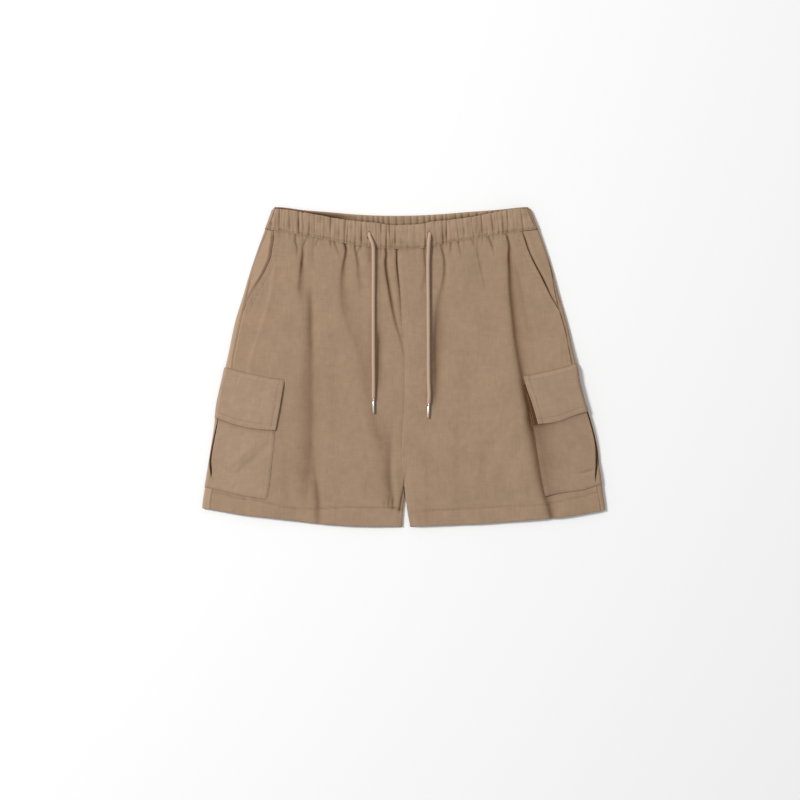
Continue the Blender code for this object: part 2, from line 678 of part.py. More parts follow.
def make_facing(side, material):
    """Cloth seen in the slash pocket's mouth, up to the side seam."""
    edges = [settle(side, body_row, share) for share in BODY_ROWS[:FACING_ROWS]]
    open_steps = 4

    def mouth_cloth(height):
        return roll_centre(side, height) + ROLL_CLOTH - MOUTH_EDGE[side](height)

    def cloth_at(column, row):
        height = edges[row]
        seam = SEAM_CLOTH[side](height) + 1.5 * SEAM
        shown = max(mouth_cloth(height) - FACING_SHOW, seam + 0.8)
        if column <= open_steps:
            return mix(seam, shown, column / open_steps)
        reach = shown + FACING_SHOW + FACING_UNDERLAP
        return mix(shown, reach, (column - open_steps) / 2)

    def place(column, row, wall):
        cloth = cloth_at(column, row)
        clear = mouth_cloth(edges[row]) - cloth
        drop = FACING_DROP * (1 - ease((clear - FACING_SHOW) / FACING_RISE))

        def over(across, height):
            return top_surface(across, height) - drop - wall * PATCH

        def under(across, height):
            return underside(side, abs(across), height) + wall * PATCH

        return wrapped_point(
            side, cloth, edges[row],
            lambda across, top: body_row(across, BODY_ROWS[row]),
            over, under, -wall * PATCH,
        )

    return make_wall(
        f"hip_facing_{side}", open_steps + 2, FACING_ROWS - 1,
        lambda column, row: place(column, row, 0.0),
        lambda column, row: place(column, row, 1.0), material,
    )


def make_pocket(side, material):
    rows = steps(0.0, 1.0, 12)
    front_steps, lip_steps, under_steps = 7, 4, 5
    lips = [PLEAT_SHOULDER, PLEAT_LIP, 0.0, -PLEAT_LIP]
    wrap_steps = 6

    def pocket_row(across, share):
        top = FLAP_TOP_LINE[side](abs(across)) - POCKET_TOP_DROP
        return mix(top, POCKET_BOTTOM_LINE[side](abs(across)), share)

    edges = [settle(side, pocket_row, share) for share in rows]

    def cloth_at(column, row):
        edge = edges[row]
        pleat = PLEAT_CLOTH[side](edge)
        first = pleat + lips[0]
        if column < front_steps:
            front = POCKET_FRONT_EDGE[side](edge - POCKET_FRONT_DROP)
            start = roll_centre(side, edge) + ROLL_CLOTH - front
            return mix(start, first, column / front_steps)
        column -= front_steps
        if column < lip_steps:
            return pleat + lips[column]
        column -= lip_steps - 1
        last = -ROLL_CLOTH - 1.0
        if column <= wrap_steps:
            return mix(pleat + lips[-1], last, column / wrap_steps)
        return mix(last, -POCKET_BACK, (column - wrap_steps) / under_steps)

    def place(column, row, wall):
        cloth = cloth_at(column, row)
        lip = abs(cloth - PLEAT_CLOTH[side](edges[row])) / PLEAT_LIP
        open_share = ease(rows[row] / 0.15) * ease((1 - rows[row]) / 0.12)
        groove = 0.0
        if wall == 0.0 and column >= front_steps:
            groove = PLEAT_DEPTH * open_share * max(1 - lip, 0.0)

        def over(across, height):
            return top_surface(across, height) + STEP_UP - wall * PATCH - groove

        def under(across, height):
            flap = flap_cover(side, abs(across), height, FLAP_EDGE_MARGIN, FLAP_EDGE_FALL)
            return PILE * flap + wall * PATCH

        return wrapped_point(
            side, cloth, edges[row],
            lambda across, top: pocket_row(across, rows[row]),
            over, under, STEP_UP - wall * PATCH - groove,
        )

    return make_wall(
        f"cargo_pocket_{side}", front_steps + lip_steps - 1 + wrap_steps + under_steps,
        len(rows) - 1,
        lambda column, row: place(column, row, 0.0),
        lambda column, row: place(column, row, 1.0), material,
    )


def make_flap(side, material):
    rows = [0.0, 0.1, 0.3, 0.55, 0.8, 1.0]
    front_steps, under_steps = 7, 6

    def flap_row(across, share):
        top = FLAP_TOP_LINE[side](abs(across))
        return mix(top, FLAP_BOTTOM_LINE[side](abs(across)), share)

    edges = [settle(side, flap_row, share) for share in rows]

    def cloth_at(column, row):
        edge = edges[row]
        first = ROLL_CLOTH + 0.6
        if column < front_steps:
            front = FLAP_FRONT_EDGE[side](edge - FLAP_FRONT_DROP)
            start = roll_centre(side, edge) + ROLL_CLOTH - front
            return mix(start, first, column / front_steps)
        column -= front_steps
        if column <= ROLL_STEPS:
            return mix(first, -first, column / ROLL_STEPS)
        return mix(-first, -FLAP_BACK, (column - ROLL_STEPS) / under_steps)

    def place(column, row, wall):
        lift = STEP_UP * (1 + ease(rows[row] / 0.1))

        def over(across, height):
            return top_surface(across, height) + lift - wall * PATCH

        def under(across, height):
            return wall * PATCH

        return wrapped_point(
            side, cloth_at(column, row), edges[row],
            lambda across, top: flap_row(across, rows[row]),
            over, under, lift - wall * PATCH,
        )

    return make_wall(
        f"cargo_flap_{side}", front_steps + ROLL_STEPS + under_steps, len(rows) - 1,
        lambda column, row: place(column, row, 0.0),
        lambda column, row: place(column, row, 1.0), material,
    )


# ---------------------------------------------------------------- waistband
def band_edge(side, share):
    """Height on the drawing of a band row at the side fold."""
    across = SIDES[side] * BAND_REACH
    return mix(band_top_front(across), waist_seam(across), share)


def make_band_front(material):
    rows = [0.0, 0.1, 0.37, 0.63, 0.9, 1.0]
    first = ROLL_CLOTH + 0.3

    def band_end(side, share):
        edge = band_edge(side, share)
        return SIDES[side] * (REACH[side](edge) - BAND_ROLL - first + ROLL_CLOTH)

    count = 2 * len(BAND_GATHERS)

    def across_at(column, share):
        valley, between = divmod(column - 1, 2)
        if column == 0:
            return band_end("right", share)
        if column == count:
            return band_end("left", share)
        top, bottom, _ = BAND_GATHERS[valley]
        if between:
            top = (top + BAND_GATHERS[valley + 1][0]) / 2
            bottom = (bottom + BAND_GATHERS[valley + 1][1]) / 2
        return mix(top, bottom, share)

    def puff_at(column):
        """Height over the valleys: gathers stand up between their creases."""
        valley, between = divmod(column - 1, 2)
        if column in (0, count):
            return BAND_SIDE_PUFF
        top, _, depth = BAND_GATHERS[valley]
        if not between:
            return BAND_PUFF - depth
        next_top, _, next_depth = BAND_GATHERS[valley + 1]
        pinch = (depth + next_depth) / 2
        return BAND_PUFF + BAND_SWELL * min((next_top - top) / BAND_WIDE, 1.0) * pinch

    def place(column, row, wall):
        share = rows[row]
        across = across_at(column, share)
        height = mix(band_top_front(across), waist_seam(across), share)
        if wall:
            return (across, height, BAND_UNDER)
        edge = BAND_EDGE_DROP if row in (0, len(rows) - 1) else 0.0
        return (across, height, BAND_OVER + puff_at(column) - edge)

    return make_wall(
        "waistband_front", count, len(rows) - 1,
        lambda column, row: place(column, row, 0.0),
        lambda column, row: place(column, row, 1.0), material,
    )


def make_band_back(material):
    rows = [0.0, 0.14, 0.86, 1.0]
    first = ROLL_CLOTH
    side_steps = ROLL_STEPS
    middle_steps = 2 * BAND_GATHERS_BACK
    count = 2 * side_steps + middle_steps

    def puff_at(column):
        """Uneven gathers of the inner face, which shows above the front."""
        coarse, fine = BAND_BACK_WAVES
        wave = coarse * math.sin(1.9 * column) + fine * math.sin(0.83 * column + 1.0)
        return BAND_BACK_PUFF + wave if column % 2 else 0.0

    def place(column, row, wall):
        share = rows[row]
        edge = BAND_EDGE_DROP if row in (0, len(rows) - 1) else 0.0
        if side_steps <= column <= side_steps + middle_steps:
            part = (column - side_steps) / middle_steps
            start = band_end("right", share)
            across = mix(start, band_end("left", share), part)
            height = mix(band_top_back(across), back_seam(across), share)
            if not wall:
                return (across, height, 0.0)
            return (across, height, BAND_BACK + puff_at(column) - edge)
        side = "right" if column < side_steps else "left"
        turn = column if side == "right" else count - column
        cloth = mix(first, -first, turn / side_steps)

        def row_height(across, top):
            line = band_top_front if top else band_top_back
            return mix(line(across), waist_seam(across), share)

        edge_height = band_edge(side, share)
        return wrapped_point(
            side, cloth, edge_height, row_height,
            lambda across, height: BAND_OVER + BAND_SIDE_PUFF - edge - wall * BAND_BACK,
            lambda across, height: wall * BAND_BACK,
            -wall * BAND_BACK, BAND_ROLL,
        )

    def band_end(side, share):
        edge = band_edge(side, share)
        return SIDES[side] * (roll_centre(side, edge) + ROLL - BAND_ROLL)

    return make_wall(
        "waistband_back", count, len(rows) - 1,
        lambda column, row: place(column, row, 0.0),
        lambda column, row: place(column, row, 1.0), material,
    )


def cut_buttonhole(band, side):
    """Recess in the band's wall from which the drawstring comes out."""
    across, height, _ = DRAWSTRING[side][1]
    name = f"buttonhole_cutter_{side}"
    mesh = bpy.data.meshes.new(name)
    shape = bmesh.new()
    bmesh.ops.create_circle(shape, cap_ends=True, segments=12, radius=BUTTONHOLE_WIDTH / 2 * MM)
    stretch = (BUTTONHOLE_LENGTH - BUTTONHOLE_WIDTH) / 2 * MM
    for vertex in shape.verts:
        vertex.co.y += math.copysign(stretch, vertex.co.y)
    lifted = bmesh.ops.extrude_face_region(shape, geom=shape.faces[:])["geom"]
    top = [item for item in lifted if isinstance(item, bmesh.types.BMVert)]
    bmesh.ops.translate(shape, verts=top, vec=Vector((0.0, 0.0, BUTTONHOLE_CUT * MM)))
    bmesh.ops.recalc_face_normals(shape, faces=shape.faces[:])
    shape.to_mesh(mesh)
    shape.free()
    cutter = bpy.data.objects.new(name, mesh)
    bpy.context.collection.objects.link(cutter)
    cutter.location = Vector((across, height, BUTTONHOLE_FLOOR)) * MM
    cutter.hide_render = True
    cutter.display_type = "WIRE"
    cut = band.modifiers.new(name, "BOOLEAN")
    cut.operation = "DIFFERENCE"
    cut.solver = "EXACT"
    cut.object = cutter


# --------------------------------------------------------------- drawstring
def route_points(side):
    """Points along a drawstring's smooth line, closer where it bends most."""
    rows = DRAWSTRING[side]
    lengths = [0.0]
    for before, after in zip(rows, rows[1:]):
        lengths.append(lengths[-1] + math.dist(before, after))
    lines = [
        Curve([(length, row[axis]) for length, row in zip(lengths, rows)])
        for axis in range(3)
    ]
    total = lengths[-1]
    marks = [total * (i / (CORD_POINTS - 1)) ** CORD_CROWDING for i in range(CORD_POINTS)]
    return [Vector([line(length) for line in lines]) for length in marks]


def make_drawstring(side, material):
    name = f"drawstring_{side}"
    points = route_points(side)
    curve = bpy.data.curves.new(name, "CURVE")
    curve.dimensions = "3D"
    spline = curve.splines.new("POLY")
    spline.points.add(len(points) - 1)
    for slot, point in zip(spline.points, points):
        slot.co = (*(point * MM), 1.0)
    curve.bevel_depth = CORD / 2 * MM
    curve.bevel_resolution = 2
    curve.use_fill_caps = True
    curve.materials.append(material)
    cord = bpy.data.objects.new(name, curve)
    bpy.context.collection.objects.link(cord)
    return cord


def make_tip(side, material):
    """Metal tip clamped on the drawstring's free end."""
    name = f"drawstring_tip_{side}"
    points = route_points(side)
    along = (points[-1] - points[-2]).normalized()
    mesh = bpy.data.meshes.new(name)
    shape = bmesh.new()
    bmesh.ops.create_cone(
        shape, cap_ends=True, segments=16, radius1=TIP / 2 * MM,
        radius2=TIP / 2 * MM, depth=TIP_LENGTH * MM,
    )
    bmesh.ops.recalc_face_normals(shape, faces=shape.faces[:])
    shape.to_mesh(mesh)
    shape.free()
    mesh.shade_smooth()
    mesh.set_sharp_from_angle(angle=math.radians(40))
    mesh.materials.append(material)
    tip = bpy.data.objects.new(name, mesh)
    bpy.context.collection.objects.link(tip)
    tip.rotation_euler = along.to_track_quat("Z", "Y").to_euler()
    tip.location = (points[-1] + along * (SEAM + TIP_LENGTH / 2)) * MM
    return tip


# --------------------------------------------------------------------- main
def clear_scene():
    for item in list(bpy.data.objects):
        bpy.data.objects.remove(item, do_unlink=True)


def main():
    clear_scene()
    panel = cloth_material("khaki_cotton", (0.36, 0.25, 0.16))
    band = cloth_material("khaki_cotton_band", (0.33, 0.23, 0.15))
    patch = cloth_material("khaki_cotton_patch", (0.40, 0.28, 0.19))
    cord = cloth_material("drawstring_cotton", (0.36, 0.24, 0.17))
    steel = cloth_material("polished_steel", (0.75, 0.74, 0.72), 0.25, 1.0)
    for side in SIDES:
        make_back(side, panel)
        make_front(side, panel)
        make_facing(side, panel)
        make_pocket(side, patch)
        make_flap(side, patch)
        make_drawstring(side, cord)
        make_tip(side, steel)
    make_band_back(band)
    front_band = make_band_front(band)
    for side in SIDES:
        cut_buttonhole(front_band, side)


main()
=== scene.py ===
"""Dresses the laid cargo shorts: fine cloth, sewing, drawstrings, light, camera.

Left and right are the wearer's, so left lies at +X, and the waist is towards
+Y.  Every number in a table is in millimetres; the floor is height 0.
Outward is the distance from the middle of the garment to either side.
"""
import math

import bmesh
import bpy
import numpy as np
from mathutils import Matrix, Vector


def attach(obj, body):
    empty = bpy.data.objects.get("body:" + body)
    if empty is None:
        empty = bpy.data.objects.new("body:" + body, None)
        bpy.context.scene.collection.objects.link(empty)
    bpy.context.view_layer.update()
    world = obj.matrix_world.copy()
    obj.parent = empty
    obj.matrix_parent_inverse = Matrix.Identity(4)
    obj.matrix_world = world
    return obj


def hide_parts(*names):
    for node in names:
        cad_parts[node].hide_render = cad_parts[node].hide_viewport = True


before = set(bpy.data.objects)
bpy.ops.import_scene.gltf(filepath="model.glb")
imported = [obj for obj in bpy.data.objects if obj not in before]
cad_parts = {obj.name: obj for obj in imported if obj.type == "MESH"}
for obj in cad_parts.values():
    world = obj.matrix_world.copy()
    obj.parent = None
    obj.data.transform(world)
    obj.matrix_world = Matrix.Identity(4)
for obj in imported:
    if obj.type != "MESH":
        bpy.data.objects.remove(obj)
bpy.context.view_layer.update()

MM = 0.001
SIDES = {"right": -1.0, "left": 1.0}
TURN = 2 * math.pi

# ------------------------------------------------------ sizes of the garment
SEAM = 0.3              # gap between neighbouring pieces
PILE = 1.0 + SEAM       # height that each patch adds underneath
STEP_UP = 1.5           # height that each patch adds on top
LOFT = 5.8              # outer height of the front over the floor, mid panel
SIDE_LOFT = 5.2         # the same beside the side folds
SIDE_SLOPE = 45.0       # stretch in which the front rises from there to LOFT
GATHER_LOFT = 1.9       # extra height under the waistband, where cloth bunches
GATHER_REACH = 28.0     # distance over which that extra height dies away
CREASE_FADE = 12.0      # last stretch of a crease, in which it dies away
CENTRE_DIP = 0.7        # depth of the groove along the centre front seam
CENTRE_DIP_WIDTH = 2.6  # half width of that groove
CROTCH = -105.0         # height on the drawing where the legs part
LEG_PART = 40.0         # stretch below the crotch in which their edges round off
INSEAM_LOFT = 4.2       # height of the front along the inner leg edges
INSEAM_ROLL = 11.0      # width over which the front rolls down to that edge
MOUTH_END = 76.0        # height just below the slash pocket mouths' lower ends
MOUTH_LIFT = 0.5        # the mouths' edges stand this much proud
MOUTH_LIFT_WIDTH = 9.0  # distance across over which that dies away
MOUTH_LIFT_GROWTH = 30.0  # stretch above the lower end in which it grows
ROLL = 2.8              # half width of the round at a side fold
ROLL_CLOTH = 4.6        # cloth taken by a quarter of that round
BAND_UNDER = 4.8        # waistband front: height of its plain inside
BAND_OVER = 7.4         # waistband front: height of its gather valleys
BAND_PUFF = 1.5         # a gather's outer height over that
BAND_BACK = 2.7         # waistband back: wall at the gather valleys
BAND_SIDE_PUFF = 0.7    # its puff where it rounds its side folds
BAND_ROLL = 3.5         # half width of the round at the waistband's sides
BAND_REACH = 168.0      # half width of the band at its top edge
BACK_RISE = 13.0        # how much higher the waist seam runs at centre back
BACK_HALF_WIDTH = 176.0  # half width over which that rise dies away
FACING_DROP = 1.7       # the facing lies this far below the mouth's surface
FACING_SHOW = 2.0       # stretch beyond the mouth edge that stays low
FACING_RISE = 3.5       # stretch in which it climbs to the side seam
FACING_UNDERLAP = 10.0  # facing hidden under the front panel
POCKET_BACK = 82.0      # width of each cargo pocket's hidden back half
POCKET_TOP_DROP = 11.0  # pocket mouth below the flap's top edge
FLAP_BACK = 84.0        # width of each flap's hidden back half
FRONT_DROP = 17.0       # a row's front edge is read this far below its outer end
POCKET_MARGIN = 10.0    # the back stays lifted this far round the pocket
FLAP_MARGIN = 24.0      # and this far round the flap
RIDE_FALL = 40.0        # stretch in which the back comes down from there
FOLD_MARGIN = 6.0       # the side fold stays drawn in this far round a patch
FOLD_FALL = 45.0        # stretch in which it comes out again
FLAP_EDGE_MARGIN = 9.0  # the pocket stays lifted this far round the flap
FLAP_EDGE_FALL = 20.0   # stretch in which the pocket comes down from there
CORD = 4.6              # drawstring diameter
TIP = 3.0               # drawstring tip diameter
TIP_LENGTH = 18.5
CORD_POINTS = 26        # points along each drawstring's line
CORD_CROWDING = 1.35    # how much closer those lie near the buttonhole

# ------------------------------------------------------ sizes of the dressing
SHELL = 0.6             # thickness of the dressed cloth
STEP_OUT = 0.8          # how far each dressed patch widens the side fold
LAP = 0.35              # how far dressed edges run into each other at a seam
BAND_LAP = 0.8          # the same where the band is sewn on
EDGE_FOLD = 0.8         # radius at which a panel's cloth turns under
HEM_FOLD = 0.9          # the same at the hem
POCKET_FOLD = 0.55      # the same at a pocket's edges
FLAP_FOLD = 0.65        # the same at a flap's edges
LEAST_LOFT = 1.8        # lowest that a fold may press the front
BROAD_SHARE = 0.3       # share of the broad creases left beside the fine folds
FOLD_SINK = 0.55        # share of a fold's depth by which the cloth really sinks
FOLD_POWER = 1.6        # sharpness of a fold's floor: 2 is round, 1 a knife edge
SLIT_DEPTH = 3.4        # how far the cloth sinks in the side pleats' slits
SLIT_END = {"right": -143, "left": -147}    # height of their lower ends
HEM_SEWN, TOP_SEWN = 1.5, 6.8   # a patch's two rows of stitches, from its edge
POCKET_HEIGHT = 150.0   # a pocket's height, for its lines of stitches
FLAP_HEIGHT = 66.0      # the same of a flap
BAND_RIBS = 27.0        # the band's height, for its ribs
SLOT_HALF = 3.6         # half length of a buttonhole's straight part
TWILL = 0.62            # width of a yarn in the weave

# --------------------------------------------------- painted light and shade on them
EDGE_LIGHT = {"right": 2.2, "left": 0.0}    # light on the fronts' outer edges
STRIP_LIGHT = {"right": 3.2, "left": 0.2}   # on the strips beside the folds
FACING_LIGHT = {"right": 2.2, "left": 0.0}  # and on the facings
SEAM_GLOOM = {"right": -0.6, "left": 2.4}   # shade in each side seam
CLOTH_COLOUR = (0.318, 0.214, 0.139)
# painted light: the right side's patches are painted lighter and the left side's darker, for
# how the light falls on them
PATCH_COLOURS_LIT_BY_SIDE = {"right": (0.342, 0.233, 0.156), "left": (0.324, 0.222, 0.149)}
BAND_COLOUR = (0.324, 0.219, 0.144)
CORD_COLOUR = (0.425, 0.292, 0.211)
THREAD_COLOUR = (0.35, 0.24, 0.16)
# Painted shade: how strongly it darkens the cloth, the share of colour kept under it, and the
# near-black painted in deep slits
PAINTED_SHADE_STRENGTH = 0.345          # how much a hollow darkens the cloth
SHADED = (0.28, 0.17, 0.08)     # share of its colour that cloth keeps in shade
DARKEST = 0.05          # the same in a deep slit
VIEW_CENTRE = (-5.1, -41.6)     # point of the drawing under the camera
VIEW_WIDTH = 1024.0     # width that the picture covers at the cloth
VIEW_HEIGHT = 3200.0    # camera over the floor

# ------------------------------------------------------------------- tables
# How far each side fold reaches outward.  columns: height, right, left
OUTLINE = [
    (204, 168.6, 161.5), (177.5, 177.6, 171.5), (153, 186.6, 180.5),
    (122, 197.1, 190.5), (91.5, 206.1, 198.5), (61, 215.6, 207.5), (30, 222.6, 215),
    (-0.5, 230.3, 222.8), (-16, 233.6, 225), (-31, 237.1, 228.7), (-46.5, 240.4, 232.9),
    (-62, 242.2, 238), (-77.5, 244.1, 242.3), (-92.8, 246, 245.7), (-108, 248.1, 248.3),
    (-123.5, 250.6, 249.8), (-139, 253.1, 252.1), (-169.5, 258.1, 256.5),
    (-181, 259.1, 258),
]

# Seam between band and panels, across the front.  columns: across, height
WAIST_SEAM = [
    (-177, 177.5), (-150, 173.3), (-120, 167.9), (-95, 163.4), (-70, 158.6), (-45, 155),
    (-18, 152.6), (15, 152.3), (33, 154.3), (52, 158.6), (78, 163.3), (104, 167.8),
    (130, 172.3), (155, 175.5), (172, 177.5),
]

# Top edge of the front band and of the back band.  columns: across, height
BAND_TOP_FRONT = [
    (-168, 203.6), (-153, 202.8), (-133, 199.6), (-107, 195.2), (-87, 191.3),
    (-56, 187.5), (-31, 184.9), (-15, 182.5), (0, 182.8), (23, 184.3), (33, 186.6),
    (59, 189.4), (84, 192.6), (110, 197.7), (136, 202.8), (162, 204.2),
]
BAND_TOP_BACK = [
    (-168, 205.5), (-157, 205.3), (-128, 201.6), (-97, 199.1), (-67, 196.5),
    (-36, 194.8), (15, 194.8), (46, 196.4), (77, 198.9), (107, 201.1), (128, 202.9),
    (148, 205.1), (162, 205.8),
]

# Lower edge of both legs, and the stitched line of their hems.
# columns: across, height
HEM = [
    (-258, -180), (-247, -181.8), (-210, -188), (-179, -191.6), (-138, -196.5),
    (-112, -199.7), (-82, -202.2), (-56, -203.4), (-2.6, -203.5), (7.7, -203.3),
    (61, -201.7), (97, -200.2), (128, -198), (179, -193.9), (200, -192), (230, -187.6),
    (251, -183.7), (258, -181.5),
]
HEM_LINE = [
    (-256, -156.8), (-229, -162.6), (-203, -168.3), (-178, -172.2), (-158, -177.3),
    (-139, -180), (-107, -180.3), (-75, -178.8), (-37, -180), (-3.8, -181.2),
    (7.7, -184.5), (20, -184.2), (46, -182.4), (78, -180), (110, -178.6), (150, -176.8),
    (180, -174.8), (204, -170), (254, -158),
]

# Centre seam, then the inner leg edges.
# columns: height, right panels' edge, left panels' edge (both across)
INNER_EDGE = [
    (172, -8.3, -8.3), (150, -8.4, -8.4), (135, -8.9, -8.9), (118, -7.4, -7.4),
    (99, -5.6, -5.6), (61, -3.4, -3.4), (22, -0.2, -0.2), (3, 1, 1), (-35, 0.8, 0.8),
    (-52, 0.4, 0.4), (-80, -2, -2), (-128, -2.2, -2.2), (-144, -0.6, -0.6),
    (-157, 0.5, 0.7), (-166, 0.5, 1.9), (-173, -0.4, 2.7), (-183, -1.4, 3.9),
    (-203.5, -2.6, 7.7),
]

# Side seam: cloth between the crown of the side fold and the seam.
# columns: height, right, left
SIDE_SEAM = [
    (177, 5.4, 0), (154, 4.8, 0.3), (135, 4.2, 1.7), (118, 5, 3.6), (93, 6.6, 6),
    (67, 8.8, 6.7), (48, 9.2, 6.2), (35, 9.2, 6.1), (16, 9.3, 6.6), (0, 10.8, 7.2),
    (-185, 12.8, 7.6),
]

# Edge of the slash pocket mouths.  columns: height, right, left (outward)
MOUTH = [
    (176, 166.2, 150.4), (163, 166.2, 154.6), (153, 168.2, 157.8),
    (141.5, 169.9, 162.6), (132.5, 173.6, 166.8), (118.5, 180.3, 174.4),
    (104, 189, 181.4), (90, 196.6, 188.4), (78, 202.2, 195.6),
]

# Height and painted shade in those mouths
MOUTH_SHADE = {
    "right": [(84, 0), (96, 0.3), (106, 0.9), (128, 1.8), (152, 1.9)],
    "left": [(82, 1.5), (94, 2.4), (108, 4.4), (135, 4.4), (152, 2.5)],
}

# Cargo flaps and pockets, edges across.  columns: outward, height
FLAP_TOP = {
    "right": [(152, -15.4), (178, -11.5), (197, -7.7), (210, -4.5), (228, 0.6)],
    "left": [(153, -10.9), (168, -7.7), (187, -3.7), (206, 1.3), (220, 6)],
}
FLAP_BOTTOM = {
    "right": [(164, -80.4), (187, -78.7), (203, -76.2), (220, -71.7), (242, -63.4)],
    "left": [(172, -72.3), (187, -71), (200, -68), (216, -62.1), (233, -56.4)],
}
POCKET_BOTTOM = {
    "right": [(176, -169), (203, -165), (229, -158.8), (254, -153.3)],
    "left": [(181, -165.1), (203, -160.6), (229, -156.8), (251, -149.6)],
}

# Their front edges.  columns: height, right, left (outward)
FLAP_FRONT = [
    (-12, 152, 152.8), (-29, 154.6, 157.1), (-45, 157.4, 162.7), (-61, 160.2, 167.6),
    (-80, 163.8, 173.2),
]
POCKET_FRONT = [
    (-20, 156.8, 152.5), (-47, 160.3, 158.8), (-82, 164.8, 166.5), (-106, 167.2, 170),
    (-130, 169.6, 174), (-150, 171.8, 177.3), (-168, 174.8, 180.8),
]

# Slits of the side pleats.  columns: height, right and left cloth from the
# crown of the side fold, right and left half width
SLIT = [
    (-20, 6, 3, 0.2, 0.3), (-50, 5.6, 2, 0.2, 0.8), (-62, 5.2, 1.6, 0.25, 1.2),
    (-74, 4.7, 1.4, 0.4, 1.4), (-84, 3.9, 1.4, 0.8, 1.5), (-94, 3.1, 1.4, 1.15, 1.7),
    (-106, 2.5, 1.6, 1.4, 2.2), (-118, 2.8, 2.6, 1.6, 2.3), (-125, 4.2, 3.8, 1.5, 1.9),
    (-130, 5.8, 5.4, 1.2, 1.3), (-137, 7.2, 7.4, 0.7, 0.9), (-142, 7.9, 8.5, 0.3, 0.5),
    (-155, 9, 9.4, 0.2, 0.2),
]

# Gathers of the front band.  columns: across at top, across at bottom, depth
BAND_GATHERS = [
    (-159, -159.6, 0.85), (-155.6, -156.8, 0.8), (-151.6, -153.4, 0.6),
    (-146.8, -146.3, 0.6), (-143.2, -144, 0.4), (-134.8, -134.5, 1.05),
    (-129.3, -129.4, 0.8), (-120.3, -121.3, 0.85), (-114.3, -114.3, 0.7),
    (-106.3, -106.3, 0.65), (-101, -102.5, 0.6), (-93.8, -94.2, 1.1),
    (-87.6, -88.6, 0.65), (-82.8, -83.4, 0.6), (-74.6, -76, 0.95), (-70.9, -73, 0.95),
    (-67, -67.6, 0.5), (-61.6, -62.2, 0.85), (-54.2, -54.4, 1), (-47.4, -46.2, 0.7),
    (-43.2, -43, 0.5), (-35.3, -34.8, 0.7), (-29.1, -29.2, 0.95), (-22.3, -22.6, 1),
    (-18.4, -17.2, 0.85), (-14.6, -14.9, 0.65), (-11, -11, 0.85), (-8.6, -8.2, 0.5),
    (5, 5.2, 0.45), (14.2, 14, 0.4), (27.4, 27.7, 1.15), (33.6, 34.4, 0.4),
    (39.4, 42.2, 0.7), (48.9, 50.4, 1), (54.4, 54.6, 1.05), (58.6, 61, 0.6),
    (67.2, 70.4, 0.7), (75.7, 77.2, 0.6), (86.2, 89.6, 0.8), (93, 97, 0.55),
    (98.9, 100.8, 0.95), (105.2, 106.7, 0.55), (111.8, 114.6, 0.85),
    (119.6, 121.8, 0.6), (125.7, 127.2, 0.75), (132.2, 132.6, 0.95),
    (139.2, 142.2, 0.6), (149.4, 152.8, 0.85), (156.2, 159.7, 0.6),
]

# Gathers of the back band's inner face, where it shows.  column: across
BACK_GATHERS = [
    -163, -154, -147.5, -139, -131, -123.5, -114, -107, -98, -91.5, -83, -76, -68.5,
    -61, -52.5, -44.8, -38, -32, -25.6, -18.6, -9, 0.6, 9.5, 18, 26.9, 34, 41, 50, 55,
    66.6, 75, 84, 94.7, 107.5, 114, 122, 131, 138.5, 147, 155,
]

